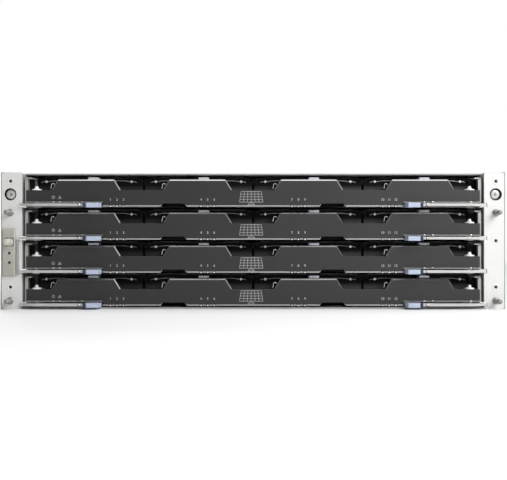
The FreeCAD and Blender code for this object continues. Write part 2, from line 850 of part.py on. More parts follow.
def save_rear_modules():
    save("midplane_board", *midplane_board())
    for number, low in enumerate(module_floors(), 1):
        save("io_module_%d" % number, io_module(low))
        save("io_module_%d_lever" % number, io_lever(low))
        save("power_supply_%d" % number, power_supply(low))
    for number, (module, rotor) in enumerate(zip(both_sides(fan_module()), both_sides(fan_rotor())), 1):
        save("fan_module_%d" % number, module)
        save("fan_rotor_%d" % number, rotor)
    save("fan_grilles", *both_sides(fan_grille()))


def main():
    os.makedirs("parts", exist_ok=True)
    save_chassis()
    save_drawers()
    save_rear_modules()


main()
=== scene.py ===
import json
import math

import bmesh
import bpy
from mathutils import Matrix, Vector


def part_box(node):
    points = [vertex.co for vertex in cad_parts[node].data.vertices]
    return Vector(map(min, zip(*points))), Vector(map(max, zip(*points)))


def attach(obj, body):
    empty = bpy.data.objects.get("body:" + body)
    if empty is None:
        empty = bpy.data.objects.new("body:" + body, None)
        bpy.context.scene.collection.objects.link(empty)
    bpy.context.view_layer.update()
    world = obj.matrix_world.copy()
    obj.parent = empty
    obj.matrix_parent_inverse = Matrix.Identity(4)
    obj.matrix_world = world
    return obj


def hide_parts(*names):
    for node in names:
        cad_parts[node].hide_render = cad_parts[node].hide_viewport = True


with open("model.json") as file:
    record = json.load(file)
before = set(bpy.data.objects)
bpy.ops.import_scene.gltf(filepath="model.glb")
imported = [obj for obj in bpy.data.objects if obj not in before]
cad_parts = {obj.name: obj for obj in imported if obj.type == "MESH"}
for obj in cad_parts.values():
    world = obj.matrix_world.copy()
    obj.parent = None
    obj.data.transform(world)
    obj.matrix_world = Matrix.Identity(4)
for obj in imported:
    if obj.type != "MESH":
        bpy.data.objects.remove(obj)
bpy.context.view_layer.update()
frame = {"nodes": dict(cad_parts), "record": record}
nodes = frame["nodes"]
record = frame["record"]

mm = 0.001
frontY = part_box("left_rack_ear")[0].y  # front face of the ears
rackShift = Vector((0, frontY, 0))
rackToRow = Matrix.Translation(rackShift) @ Matrix.Scale(mm, 4)
forward, backward, upward = (0, -1, 0), (0, 1, 0), (0, 0, 1)
drawers = (1, 2, 3, 4)
columns = (-1.5, -0.5, 0.5, 1.5)  # drives side by side, in pitches from the middle
gaps = (-1, 0, 1)  # spaces between those columns
rows = (0, 1, 2)  # drives one behind the other
units = (1, 2)  # rear modules of each kind
sides = {"left": -1, "right": 1}
print("frame loaded:", len(nodes), "nodes")


# Places in rack millimetres: x from the middle, y behind the ears' front, z above the underside
def rackBox(node):
    low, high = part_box(node)
    return (low - rackShift) / mm, (high - rackShift) / mm


faceLow, faceHigh = rackBox("drawer_1_faceplate")
handleLow, handleHigh = rackBox("drawer_1_drive_handles")
driveLow, driveHigh = rackBox("drawer_1_drives")
caseHigh = rackBox("chassis_case")[1]
drawerPitch = faceLow.z - rackBox("drawer_2_faceplate")[0].z
driveWidth = 101.6
driveLength = 147.0
columnPitch = (driveHigh.x - driveLow.x - driveWidth) / (len(columns) - 1)
rowPitch = (driveHigh.y - driveLow.y - driveLength) / (len(rows) - 1)
rearY = caseHigh.y


def drawerShift(number):
    # how far a drawer lies below the first one
    return (number - 1) * drawerPitch


def plateTop(number):
    # top edge of the raised parts of a drawer's black face
    return faceHigh.z - drawerShift(number)


def plateBottom(number):
    return faceLow.z - drawerShift(number)


def handleTop(number):
    return handleHigh.z - drawerShift(number)


def drivePlaces():
    # middle of every drive's front edge, as x and y
    return [(column * columnPitch, driveLow.y + row * rowPitch) for column in columns for row in rows]


def onSide(side, places):
    # a stretch of x, given for the right, on the left or right side
    return sorted(side * x for x in places)


# Mesh helpers, all in rack millimetres
edgeFullness = 0.6  # profile of rounded block edges
pointRadius = 1e-6  # a turned ring under this size is one point


def addBlock(bm, low, high, edge=0.0, segments=2):
    low, high = Vector(low), Vector(high)
    verts = bmesh.ops.create_cube(bm, size=1)["verts"]
    bmesh.ops.scale(bm, vec=high - low, verts=verts)
    bmesh.ops.translate(bm, vec=(low + high) / 2, verts=verts)
    if edge:
        edges = list({item for vert in verts for item in vert.link_edges})
        bmesh.ops.bevel(bm, geom=edges, offset=edge, segments=segments, profile=edgeFullness,
                        affect="EDGES", clamp_overlap=True)


def addTurned(bm, profile, place, axis, steps):
    # profile is pairs of radius and distance along the axis
    turn = Vector(upward).rotation_difference(Vector(axis)).to_matrix()
    rings = []
    for radius, along in profile:
        count = steps if radius > pointRadius else 1
        angles = [2 * math.pi * step / steps for step in range(count)]
        spots = [Vector((radius * math.cos(angle), radius * math.sin(angle), along)) for angle in angles]
        rings.append([bm.verts.new(Vector(place) + turn @ spot) for spot in spots])
    for lower, upper in zip(rings, rings[1:]):
        for step in range(steps):
            following = step + 1
            corners = [lower[step % len(lower)], lower[following % len(lower)],
                       upper[following % len(upper)], upper[step % len(upper)]]
            corners = list(dict.fromkeys(corners))
            if len(corners) > 2:
                bm.faces.new(corners)


def widen(shape, radius):
    # turned profile whose radii are written as shares of one radius
    return [(share * radius, along) for share, along in shape]


def fromBothEnds(foot, tip, length):
    # turned profile whose tip is measured back from the far end
    return list(foot) + [(radius, length - along) for radius, along in tip]


def addPrism(bm, first, second):
    # closed solid between two outlines with as many points each
    near = [bm.verts.new(point) for point in first]
    far = [bm.verts.new(point) for point in second]
    bm.faces.new(near)
    bm.faces.new(list(reversed(far)))
    for step in range(len(near)):
        following = (step + 1) % len(near)
        bm.faces.new([near[following], near[step], far[step], far[following]])


def addPlate(bm, points, front, back):
    # closed outline of x and z, between two y places
    addPrism(bm, [(x, front, z) for x, z in points], [(x, back, z) for x, z in points])


def addSheet(bm, points, low, high):
    # closed outline of x and y, between two heights
    addPrism(bm, [(x, y, low) for x, y in points], [(x, y, high) for x, y in points])


def addBar(bm, points, radius, steps=8):
    # round wire along the points
    points = [Vector(point) for point in points]
    angles = [2 * math.pi * step / steps for step in range(steps)]
    rings = []
    side = None
    for index, point in enumerate(points):
        ahead = (points[min(index + 1, len(points) - 1)] - points[max(index - 1, 0)]).normalized()
        side = ahead.orthogonal() if side is None else side - ahead * side.dot(ahead)
        side.normalize()
        other = ahead.cross(side)
        rings.append([bm.verts.new(point + radius * (side * math.cos(angle) + other * math.sin(angle)))
                      for angle in angles])
    for lower, upper in zip(rings, rings[1:]):
        for step in range(steps):
            following = (step + 1) % steps
            bm.faces.new([lower[step], lower[following], upper[following], upper[step]])
    bm.faces.new(list(reversed(rings[0])))
    bm.faces.new(rings[-1])


def addFrame(bm, low, high, width, front, back, edge=0.0):
    # four bars round a rectangle of x and z
    addBlock(bm, (low.x - width, front, low.z - width), (low.x, back, high.z + width), edge)
    addBlock(bm, (high.x, front, low.z - width), (high.x + width, back, high.z + width), edge)
    addBlock(bm, (low.x - width, front, low.z - width), (high.x + width, back, low.z), edge)
    addBlock(bm, (low.x - width, front, high.z), (high.x + width, back, high.z + width), edge)


def arcPoints(middle, radius, start, end, count):
    # points on part of a circle, angles in degrees
    turns = [math.radians(start + (end - start) * step / (count - 1)) for step in range(count)]
    return [(middle[0] + radius * math.cos(turn), middle[1] + radius * math.sin(turn)) for turn in turns]


def roundedOutline(left, right, near, far, radius):
    points = []
    for middle, start in (((right - radius, far - radius), 0), ((left + radius, far - radius), 90),
                          ((left + radius, near + radius), 180), ((right - radius, near + radius), 270)):
        points += arcPoints(middle, radius, start, start + 90, 6)
    return points


def addStroke(bm, points, width, front, back):
    # printed line of even width along x and z points
    for (x0, z0), (x1, z1) in zip(points, points[1:]):
        length = math.hypot(x1 - x0, z1 - z0)
        px, pz = -(z1 - z0) / length * width / 2, (x1 - x0) / length * width / 2
        addPlate(bm, [(x0 + px, z0 + pz), (x0 - px, z0 - pz), (x1 - px, z1 - pz), (x1 + px, z1 + pz)],
                 front, back)


def linkObject(name, data):
    thing = bpy.data.objects.new(name, data)
    bpy.context.scene.collection.objects.link(thing)
    return thing


numberLook = {"sizePerHeight": 1.38, "thickness": 0.03, "boldness": 0.04, "curveSteps": 3}


def addNumber(bm, text, place, height):
    look = numberLook
    shape = bpy.data.curves.new("numberShape", "FONT")
    shape.body = text
    shape.size = height * look["sizePerHeight"]
    shape.align_x = "CENTER"
    shape.align_y = "CENTER"
    shape.extrude = look["thickness"]
    shape.offset = look["boldness"]
    shape.resolution_u = look["curveSteps"]
    holder = linkObject("numberShape", shape)
    bpy.context.view_layer.update()
    seen = holder.evaluated_get(bpy.context.evaluated_depsgraph_get())
    mesh = bpy.data.meshes.new_from_object(seen)
    mesh.transform(Matrix.Translation(place) @ Matrix.Rotation(math.pi / 2, 4, "X"))
    bm.from_mesh(mesh)
    bpy.data.objects.remove(holder)
    bpy.data.curves.remove(shape)
    bpy.data.meshes.remove(mesh)


def addPiece(name, bm, material, body, smoothAngle=35):
    bmesh.ops.recalc_face_normals(bm, faces=bm.faces)
    bmesh.ops.transform(bm, matrix=rackToRow, verts=bm.verts)
    mesh = bpy.data.meshes.new(name)
    bm.to_mesh(mesh)
    bm.free()
    mesh.shade_smooth()
    mesh.set_sharp_from_angle(angle=math.radians(smoothAngle))
    mesh.materials.append(material)
    piece = linkObject(name, mesh)
    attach(piece, body)
    return piece


def addDrawerPiece(number, name, bm, material, smoothAngle=35):
    body = "drawer_%d" % number
    return addPiece("%s_%s" % (body, name), bm, material, body, smoothAngle)


def addChassisPiece(name, bm, material, smoothAngle=35):
    return addPiece(name, bm, material, "chassis", smoothAngle)


def addSoftEdge(piece, width, segments, angle):
    soft = piece.modifiers.new("softEdge", "BEVEL")
    soft.width = width * mm
    soft.segments = segments
    soft.limit_method = "ANGLE"
    soft.angle_limit = math.radians(angle)
    soft.harden_normals = True


# Shader helpers
def setInput(tree, socket, value):
    # a colour, a number or the output of another node
    if isinstance(value, tuple):
        socket.default_value = (*value, 1.0)
    elif isinstance(value, (int, float)):
        socket.default_value = value
    else:
        tree.links.new(value, socket)


def addNode(tree, kind, inputs=None, **settings):
    node = tree.nodes.new(kind)
    for label, value in settings.items():
        setattr(node, label, value)
    for label, value in (inputs or {}).items():
        setInput(tree, node.inputs[label], value)
    return node


def mathNode(tree, operation, first, second):
    return addNode(tree, "ShaderNodeMath", {0: first, 1: second}, operation=operation).outputs[0]


def rangeNode(tree, value, source, target=(0.0, 1.0)):
    inputs = {"Value": value, "From Min": source[0], "From Max": source[1],
              "To Min": target[0], "To Max": target[1]}
    return addNode(tree, "ShaderNodeMapRange", inputs, clamp=True).outputs["Result"]


def noiseNode(tree, place, **inputs):
    return addNode(tree, "ShaderNodeTexNoise", {"Vector": place, **inputs}).outputs["Fac"]


def objectPlace(tree):
    return addNode(tree, "ShaderNodeTexCoord").outputs["Object"]


def splitVector(tree, vector):
    return addNode(tree, "ShaderNodeSeparateXYZ", {0: vector}).outputs


def mixColour(tree, mask, first, second):
    # sockets 6, 7 and 2 are the node's colour sockets
    inputs = {"Factor": mask, 6: first, 7: second}
    return addNode(tree, "ShaderNodeMix", inputs, data_type="RGBA").outputs[2]


# Shader groups that several finishes share
def newGroup(name, inputs, outputs):
    tree = bpy.data.node_groups.new(name, "ShaderNodeTree")
    for label, value in inputs.items():
        socket = tree.interface.new_socket(label, in_out="INPUT", socket_type="NodeSocketFloat")
        socket.default_value = value
    for label in outputs:
        tree.interface.new_socket(label, in_out="OUTPUT", socket_type="NodeSocketFloat")
    given = tree.nodes.new("NodeGroupInput")
    result = tree.nodes.new("NodeGroupOutput")
    return tree, given.outputs, result.inputs


grainLook = {"lineDetail": 3.0, "lineShare": 0.82, "cloudScale": 22.0, "cloudDetail": 2.0,
             "cloudShare": 0.18, "contrast": (0.35, 0.65)}


def makeRolledGrain():
    # fine lines left by rolling, along x, with a slower tone change
    look = grainLook
    tree, given, result = newGroup("rolledGrain", {"Along": 60.0, "Across": 4200.0}, ("Mask", "Height"))
    place = objectPlace(tree)
    scale = addNode(tree, "ShaderNodeCombineXYZ",
                    {"X": given["Along"], "Y": given["Across"], "Z": given["Across"]})
    stretched = addNode(tree, "ShaderNodeVectorMath", {0: place, 1: scale.outputs[0]}, operation="MULTIPLY")
    lines = noiseNode(tree, stretched.outputs[0], Scale=1.0, Detail=look["lineDetail"])
    cloud = noiseNode(tree, place, Scale=look["cloudScale"], Detail=look["cloudDetail"])
    both = mathNode(tree, "ADD", mathNode(tree, "MULTIPLY", lines, look["lineShare"]),
                    mathNode(tree, "MULTIPLY", cloud, look["cloudShare"]))
    tree.links.new(rangeNode(tree, both, look["contrast"]), result["Mask"])
    tree.links.new(lines, result["Height"])
    return tree


powderLook = {"detail": 2.0, "roughness": 0.55, "contrast": (0.3, 0.7)}


def makePowderGrain():
    # orange-peel skin of a baked powder coat or a spark-eroded mould
    look = powderLook
    tree, given, result = newGroup("powderGrain", {"Fineness": 2600.0}, ("Mask", "Height"))
    skin = noiseNode(tree, objectPlace(tree), Scale=given["Fineness"], Detail=look["detail"],
                     Roughness=look["roughness"])
    tree.links.new(rangeNode(tree, skin, look["contrast"]), result["Mask"])
    tree.links.new(skin, result["Height"])
    return tree


wipeLook = {"detail": 4.0, "distortion": 0.6, "contrast": (0.35, 0.68)}


def makeHandling():
    # soft uneven sheen where the part has been handled and wiped
    look = wipeLook
    tree, given, result = newGroup("handling", {"Size": 30.0}, ("Mask",))
    wipe = noiseNode(tree, objectPlace(tree), Scale=given["Size"], Detail=look["detail"],
                     Distortion=look["distortion"])
    tree.links.new(rangeNode(tree, wipe, look["contrast"]), result["Mask"])
    return tree


dustLook = {"slope": (0.5, 1.0), "scale": 160.0, "detail": 6.0, "contrast": (0.4, 0.7), "cover": (0.2, 1.0)}


def makeSettledDust():
    # thin dust on faces that look up
    look = dustLook
    tree, given, result = newGroup("settledDust", {"Amount": 0.3}, ("Mask",))
    surface = addNode(tree, "ShaderNodeNewGeometry")
    up = rangeNode(tree, splitVector(tree, surface.outputs["Normal"])["Z"], look["slope"])
    specks = noiseNode(tree, objectPlace(tree), Scale=look["scale"], Detail=look["detail"])
    spread = rangeNode(tree, specks, look["contrast"], look["cover"])
    settled = mathNode(tree, "MULTIPLY", mathNode(tree, "MULTIPLY", up, spread), given["Amount"])
    tree.links.new(settled, result["Mask"])
    return tree


rubLook = {"samples": 4, "bend": (0.985, 0.86), "scale": 420.0, "detail": 3.0, "contrast": (0.38, 0.62),
           "cover": (0.15, 1.0)}


def makeEdgeRub():
    # bright worn line along outer edges
    look = rubLook
    tree, given, result = newGroup("edgeRub", {"Width": 0.0004}, ("Mask",))
    rounded = addNode(tree, "ShaderNodeBevel", {"Radius": given["Width"]}, samples=look["samples"])
    surface = addNode(tree, "ShaderNodeNewGeometry")
    compare = addNode(tree, "ShaderNodeVectorMath", {0: rounded.outputs[0], 1: surface.outputs["Normal"]},
                      operation="DOT_PRODUCT")
    edge = rangeNode(tree, compare.outputs["Value"], look["bend"])
    chips = noiseNode(tree, objectPlace(tree), Scale=look["scale"], Detail=look["detail"])
    spread = rangeNode(tree, chips, look["contrast"], look["cover"])
    tree.links.new(mathNode(tree, "MULTIPLY", edge, spread), result["Mask"])
    return tree


groups = {
    "grain": makeRolledGrain(),
    "powder": makePowderGrain(),
    "handling": makeHandling(),
    "dust": makeSettledDust(),
    "rub": makeEdgeRub(),
}
print("shader groups made:", len(groups))


# Finishes, each with values that hold where a look below gives none
def placeGroup(tree, key, **values):
    return addNode(tree, "ShaderNodeGroup", values, node_tree=groups[key]).outputs


def newFinish(name, usual, given):
    look = {"metallic": 0.0, "specular": 0.5, **usual, **given}
    material = bpy.data.materials.new(name)
    material.use_nodes = True
    tree = material.node_tree
    surface = tree.nodes["Principled BSDF"].inputs
    surface["Metallic"].default_value = look["metallic"]
    surface["Specular IOR Level"].default_value = look["specular"]
    return material, tree, surface, look


def setSkin(tree, surface, look, colour, sheen):
    tree.links.new(colour, surface["Base Color"])
    tree.links.new(rangeNode(tree, sheen, (0.0, 1.0), look["roughness"]), surface["Roughness"])


def setBump(tree, surface, look, height):
    inputs = {"Strength": look["bump"], "Distance": look["bumpDepth"], "Height": height}
    bump = addNode(tree, "ShaderNodeBump", inputs)
    tree.links.new(bump.outputs["Normal"], surface["Normal"])


usualSheet = {"wipe": 26.0, "dust": 0.15, "dustTone": (0.42, 0.41, 0.39), "bump": 0.08, "bumpDepth": 0.0002}


def sheetMetal(name, given):
    # rolled or plated sheet: grain lines, uneven sheen, dust
    material, tree, surface, look = newFinish(name, usualSheet, given)
    grain = placeGroup(tree, "grain", Along=look["along"], Across=look["across"])
    wiped = placeGroup(tree, "handling", Size=look["wipe"])
    dust = placeGroup(tree, "dust", Amount=look["dust"])
    colour = mixColour(tree, grain["Mask"], look["dark"], look["light"])
    colour = mixColour(tree, dust["Mask"], colour, look["dustTone"])
    setSkin(tree, surface, look, colour, wiped["Mask"])
    setBump(tree, surface, look, grain["Height"])
    return material


usualCoat = {"wipe": 24.0, "rubWidth": 0.0004, "dust": 0.2, "dustTone": (0.34, 0.33, 0.31), "bump": 0.15,
             "bumpDepth": 0.0002}


def coatedMetal(name, given):
    # powder coat: fine skin, wiped sheen, lighter rubbed edges, dust on top
    material, tree, surface, look = newFinish(name, usualCoat, given)
    skin = placeGroup(tree, "powder", Fineness=look["fineness"])
    wiped = placeGroup(tree, "handling", Size=look["wipe"])
    rub = placeGroup(tree, "rub", Width=look["rubWidth"])
    dust = placeGroup(tree, "dust", Amount=look["dust"])
    colour = mixColour(tree, skin["Mask"], look["dark"], look["light"])
    colour = mixColour(tree, rub["Mask"], colour, look["worn"])
    colour = mixColour(tree, dust["Mask"], colour, look["dustTone"])
    setSkin(tree, surface, look, colour, wiped["Mask"])
    setBump(tree, surface, look, skin["Height"])
    return material


usualPlastic = {"wipe": 60.0, "dust": 0.1, "dustTone": (0.40, 0.39, 0.37), "bump": 0.1, "bumpDepth": 0.00015}


def mouldedPlastic(name, given):
    # moulded plastic: spark-eroded skin, slight tone drift, dust
    material, tree, surface, look = newFinish(name, usualPlastic, given)
    skin = placeGroup(tree, "powder", Fineness=look["fineness"])
    wiped = placeGroup(tree, "handling", Size=look["wipe"])
    dust = placeGroup(tree, "dust", Amount=look["dust"])
    colour = mixColour(tree, wiped["Mask"], look["dark"], look["light"])
    colour = mixColour(tree, dust["Mask"], colour, look["dustTone"])
    setSkin(tree, surface, look, colour, skin["Mask"])
    setBump(tree, surface, look, skin["Height"])
    return material


def handleMoulding(name, given):
    # drive handle: painted shade under its top rim, painted light towards the foot, the same in every
    # drawer, and less painted light towards the left
    material, tree, surface, look = newFinish(name, usualPlastic, given)
    skin = placeGroup(tree, "powder", Fineness=look["fineness"])
    place = splitVector(tree, objectPlace(tree))
    below = mathNode(tree, "SUBTRACT", handleHigh.z * mm, place["Z"])
    below = mathNode(tree, "FLOORED_MODULO", below, drawerPitch * mm)
    # painted light mask: none in the painted shade under the rim, full towards the foot
    foot = rangeNode(tree, below, [drop * mm for drop in look["shadeToLightDrop"]])
    # painted light from the right, weaker towards the left
    across = rangeNode(tree, place["X"], [x * mm for x in look["spread"]], look["shares"])
    foot = mathNode(tree, "MULTIPLY", foot, across)
    foot = mathNode(tree, "MULTIPLY", foot, rangeNode(tree, skin["Mask"], (0.0, 1.0), look["mottle"]))
    setSkin(tree, surface, look, mixColour(tree, foot, look["dark"], look["light"]), skin["Mask"])
    setBump(tree, surface, look, skin["Height"])
    return material


usualBoard = {"wipe": 40.0, "trackEdge": (0.02, 0.06), "bump": 0.2, "bumpDepth": 0.0001}


def circuitBoard(name, given):
    # solder mask over copper, with the tracks as a stepped pattern
    material, tree, surface, look = newFinish(name, usualBoard, given)
    inputs = {"Vector": objectPlace(tree), "Scale": look["trackScale"]}
    tracks = addNode(tree, "ShaderNodeTexVoronoi", inputs, feature="DISTANCE_TO_EDGE", distance="MANHATTAN")
    lines = rangeNode(tree, tracks.outputs["Distance"], look["trackEdge"], (1.0, 0.0))
    wiped = placeGroup(tree, "handling", Size=look["wipe"])
    setSkin(tree, surface, look, mixColour(tree, lines, look["dark"], look["light"]), wiped["Mask"])
    setBump(tree, surface, look, lines)
    return material


usualLens = {"wipe": 300.0}


def lampLens(name, given):
    # small moulded light pipe, unlit, slightly milky
    material, tree, surface, look = newFinish(name, usualLens, given)
    wiped = placeGroup(tree, "handling", Size=look["wipe"])
    setSkin(tree, surface, look, mixColour(tree, wiped["Mask"], look["dark"], look["light"]), wiped["Mask"])
    return material


def grey(tone):
    return (tone, tone, tone)


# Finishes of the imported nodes, by material slot
finishLooks = {
    "case_steel": (sheetMetal, {"dark": (0.29, 0.29, 0.286), "light": (0.39, 0.39, 0.382), "metallic": 0.15,
                                "specular": 0.2, "roughness": (0.54, 0.64), "along": 40.0, "across": 2600.0,
                                "dust": 0.08}),
    "ear_steel": (sheetMetal, {"dark": (0.66, 0.66, 0.645), "light": (0.72, 0.72, 0.705), "metallic": 0.08,
                               "roughness": (0.45, 0.6), "along": 500.0, "across": 3800.0, "bump": 0.05}),
    "zinc_steel": (sheetMetal, {"dark": (0.33, 0.33, 0.325), "light": (0.44, 0.44, 0.43), "metallic": 0.5,
                                "roughness": (0.34, 0.5), "along": 70.0, "across": 3400.0}),
    "lever_steel": (sheetMetal, {"dark": (0.46, 0.46, 0.455), "light": (0.58, 0.58, 0.57), "metallic": 0.3,
                                 "roughness": (0.32, 0.48), "along": 120.0, "across": 4200.0}),
    "screw_steel": (sheetMetal, {"dark": (0.50, 0.50, 0.48), "light": (0.64, 0.64, 0.62), "metallic": 0.6,
                                 "roughness": (0.28, 0.42), "along": 900.0, "across": 900.0}),
    "stud_steel": (sheetMetal, {"dark": grey(0.42), "light": (0.56, 0.56, 0.55), "metallic": 0.9,
                                "roughness": (0.16, 0.28), "along": 900.0, "across": 4000.0, "bump": 0.03}),
    "grille_steel": (coatedMetal, {"dark": grey(0.018), "light": grey(0.035), "worn": grey(0.18),
                                   "roughness": (0.4, 0.55), "fineness": 2200.0}),
    "black_face": (coatedMetal, {"dark": (0.010, 0.010, 0.0098), "light": (0.016, 0.016, 0.0157),
                                 "worn": grey(0.10), "roughness": (0.42, 0.54), "fineness": 2600.0,
                                 "rubWidth": 0.00025, "bump": 0.12, "dust": 0.06}),
    "black_plastic": (mouldedPlastic, {"dark": grey(0.002), "light": grey(0.006), "specular": 0.12,
                                       "roughness": (0.4, 0.55), "fineness": 1800.0}),
    "fan_plastic": (mouldedPlastic, {"dark": grey(0.014), "light": grey(0.028), "roughness": (0.45, 0.6),
                                     "fineness": 1500.0}),
    "blue_grip": (mouldedPlastic, {"dark": (0.42, 0.475, 0.61), "light": (0.49, 0.545, 0.68),
                                   "roughness": (0.38, 0.5), "fineness": 1600.0, "dust": 0.05}),
    "tab_plastic": (mouldedPlastic, {"dark": (0.55, 0.56, 0.63), "light": (0.63, 0.64, 0.71),
                                     "roughness": (0.4, 0.52), "fineness": 1600.0}),
    "indicator_plastic": (mouldedPlastic, {"dark": (0.39, 0.377, 0.337), "light": (0.45, 0.437, 0.397),
                                           "roughness": (0.42, 0.55), "fineness": 1500.0}),
    "drive_metal": (sheetMetal, {"dark": grey(0.36), "light": grey(0.48), "metallic": 0.3, "specular": 0.3,
                                 "roughness": (0.46, 0.58), "along": 300.0, "across": 1500.0}),
    "module_metal": (sheetMetal, {"dark": (0.42, 0.42, 0.41), "light": (0.56, 0.56, 0.55), "metallic": 0.6,
                                  "roughness": (0.34, 0.5), "along": 60.0, "across": 3000.0}),
    "board_laminate": (circuitBoard, {"dark": (0.010, 0.055, 0.025), "light": (0.030, 0.13, 0.06),
                                      "roughness": (0.32, 0.45), "trackScale": 130.0}),
}
finishes = {slot: build(slot, look) for slot, (build, look) in finishLooks.items()}

# Finishes of small parts that the slots don't cover
extraLooks = {
    "printedGrey": (mouldedPlastic, {"dark": (0.36, 0.36, 0.35), "light": (0.46, 0.46, 0.45),
                                     "roughness": (0.5, 0.6), "fineness": 3000.0, "dust": 0.0}),
    "whiteCap": (mouldedPlastic, {"dark": (0.86, 0.86, 0.84), "light": (0.92, 0.92, 0.90),
                                  "roughness": (0.35, 0.45), "fineness": 1500.0}),
    "lampClear": (lampLens, {"dark": (0.72, 0.73, 0.73), "light": (0.84, 0.85, 0.85),
                             "roughness": (0.2, 0.3)}),
    # dark lens of unlit lamps; also painted shade in gaps, holes, washers, a border and screw slots
    "darkLensAndPaintedShade": (lampLens, {"dark": (0.010, 0.012, 0.012), "light": (0.03, 0.03, 0.032),
                            "roughness": (0.1, 0.2)}),
    "studGrey": (sheetMetal, {"dark": grey(0.20), "light": (0.30, 0.30, 0.295), "metallic": 0.45,
                              "roughness": (0.3, 0.42), "along": 900.0, "across": 4000.0, "bump": 0.03}),
    "bareEdge": (sheetMetal, {"dark": grey(0.27), "light": grey(0.33), "metallic": 1.0,
                              "roughness": (0.26, 0.34), "along": 120.0, "across": 5000.0, "dust": 0.0,
                              "bump": 0.02}),
    # painted shade for the ears' rolled outer edges
    "edgeShade": (sheetMetal, {"dark": grey(0.09), "light": (0.15, 0.15, 0.148), "metallic": 0.3,
                               "roughness": (0.4, 0.5), "along": 900.0, "across": 4000.0, "bump": 0.03}),
    "creamKnob": (mouldedPlastic, {"dark": (0.50, 0.475, 0.42), "light": (0.58, 0.555, 0.50),
                                   "roughness": (0.4, 0.5), "fineness": 1500.0}),
    # dark band painted as the shadow gap between a grip and its lever arm
    "gripPaintedShadow": (mouldedPlastic, {"dark": (0.010, 0.017, 0.045), "light": (0.018, 0.028, 0.065),
                                    "roughness": (0.45, 0.55), "fineness": 1500.0}),
    # handles and cheeks: painted shade under the top rim, painted light towards the foot and towards the
    # right
    "handlePlasticPaintedLight": (handleMoulding, {"dark": grey(0.006), "light": (0.088, 0.088, 0.09),
                                       "shadeToLightDrop": (4.8, 9.0), "spread": (-160.0, 160.0), "shares": (0.3, 1.0),
                                       "mottle": (0.85, 1.0), "specular": 0.04, "roughness": (0.5, 0.62),
                                       "fineness": 1800.0}),
    "lampGreen": (lampLens, {"dark": (0.05, 0.20, 0.08), "light": (0.10, 0.32, 0.14),
                             "roughness": (0.2, 0.3)}),
    "paleLabel": (mouldedPlastic, {"dark": (0.70, 0.70, 0.68), "light": (0.76, 0.76, 0.74),
                                   "roughness": (0.45, 0.55), "fineness": 900.0, "dust": 0.05}),
    "goldContact": (sheetMetal, {"dark": (0.62, 0.44, 0.16), "light": (0.76, 0.56, 0.24), "metallic": 1.0,
                                 "roughness": (0.2, 0.3), "along": 200.0, "across": 2000.0}),
}
extras = {name: build(name, look) for name, (build, look) in extraLooks.items()}
print("finishes made:", len(finishes) + len(extras))

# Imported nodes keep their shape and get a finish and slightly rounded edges
edgeWidths = {
    "case_steel": 0.3, "ear_steel": 0.4, "zinc_steel": 0.45, "lever_steel": 0.4, "screw_steel": 0.2,
    "stud_steel": 0.3, "grille_steel": 0.2, "black_face": 0.2, "black_plastic": 0.6, "fan_plastic": 0.6,
    "blue_grip": 1.0, "tab_plastic": 0.5, "indicator_plastic": 0.4, "drive_metal": 0.8, "module_metal": 0.4,
    "board_laminate": 0.1,
}
dressLook = {"weld": 0.000002, "flatAngle": 0.4, "edgeSegments": 2, "edgeAngle": 35}


def dressNodes():
    look = dressLook
    for part in record["subparts"]:
        node = nodes[part["node"]]
        slot = part["material_slot"]
        isHandle = part["node"].endswith("drive_handles")
        # drive handles get the finish with painted shade and painted light
        node.material_slots[0].material = extras["handlePlasticPaintedLight"] if isHandle else finishes[slot]
        weld = node.modifiers.new("weld", "WELD")
        weld.merge_threshold = look["weld"]
        flat = node.modifiers.new("flatFaces", "DECIMATE")
        flat.decimate_type = "DISSOLVE"
        flat.angle_limit = math.radians(look["flatAngle"])
        addSoftEdge(node, edgeWidths[slot], look["edgeSegments"], look["edgeAngle"])


dressNodes()
print("nodes dressed:", len(record["subparts"]))

# Front plate print: drive numbers, two icons and a slot map
printLook = {
    "groupX": (-130.7, -43.6, 43.6, 130.7), "spacing": 6.3, "numberHeight": 2.4, "numberDrop": 18.1,
    "numberProud": 0.02, "iconX": (-191.8, -185.7), "iconDrop": 15.8, "iconSize": 1.35, "ringSteps": 25,
    "ringBar": (-0.1, 0.55), "signHalf": 1.15, "signBar": (-0.6, 0.25), "stroke": 0.4, "ink": 0.05,
    "sunk": 0.01,
}
mapLook = {"x": -1.8, "topHalf": 9.7, "lowHalf": 11.2, "topDrop": 10.3, "lowDrop": 20.4, "columns": 6,
           "rows": 4, "pointerHalf": 3.3, "pointerTip": 0.35, "pointerTopDrop": 21.1, "pointerLowDrop": 23.0}


def platePrint(number):
    look = printLook
    top = plateTop(number)
    ink = (look["stroke"], faceLow.y - look["ink"], faceLow.y + look["sunk"])
    bm = bmesh.new()
    count = 0
    for x in look["groupX"]:
        for step in (-1, 0, 1):
            count += 1
            place = (x + step * look["spacing"], faceLow.y - look["numberProud"], top - look["numberDrop"])
            addNumber(bm, str(count), place, look["numberHeight"])
    ringX, signX = look["iconX"]
    size = look["iconSize"]
    z = top - look["iconDrop"]
    addStroke(bm, arcPoints((ringX, z), size, 0, 360, look["ringSteps"]), *ink)
    addStroke(bm, [(ringX, z + size * share) for share in look["ringBar"]], *ink)
    left, right = signX - size * look["signHalf"], signX + size * look["signHalf"]
    addStroke(bm, [(left, z - size), (right, z - size), (signX, z + size), (left, z - size)], *ink)
    addStroke(bm, [(signX, z + size * share) for share in look["signBar"]], *ink)
    addMap(bm, top, ink)
    addDrawerPiece(number, "plate_print", bm, extras["printedGrey"])


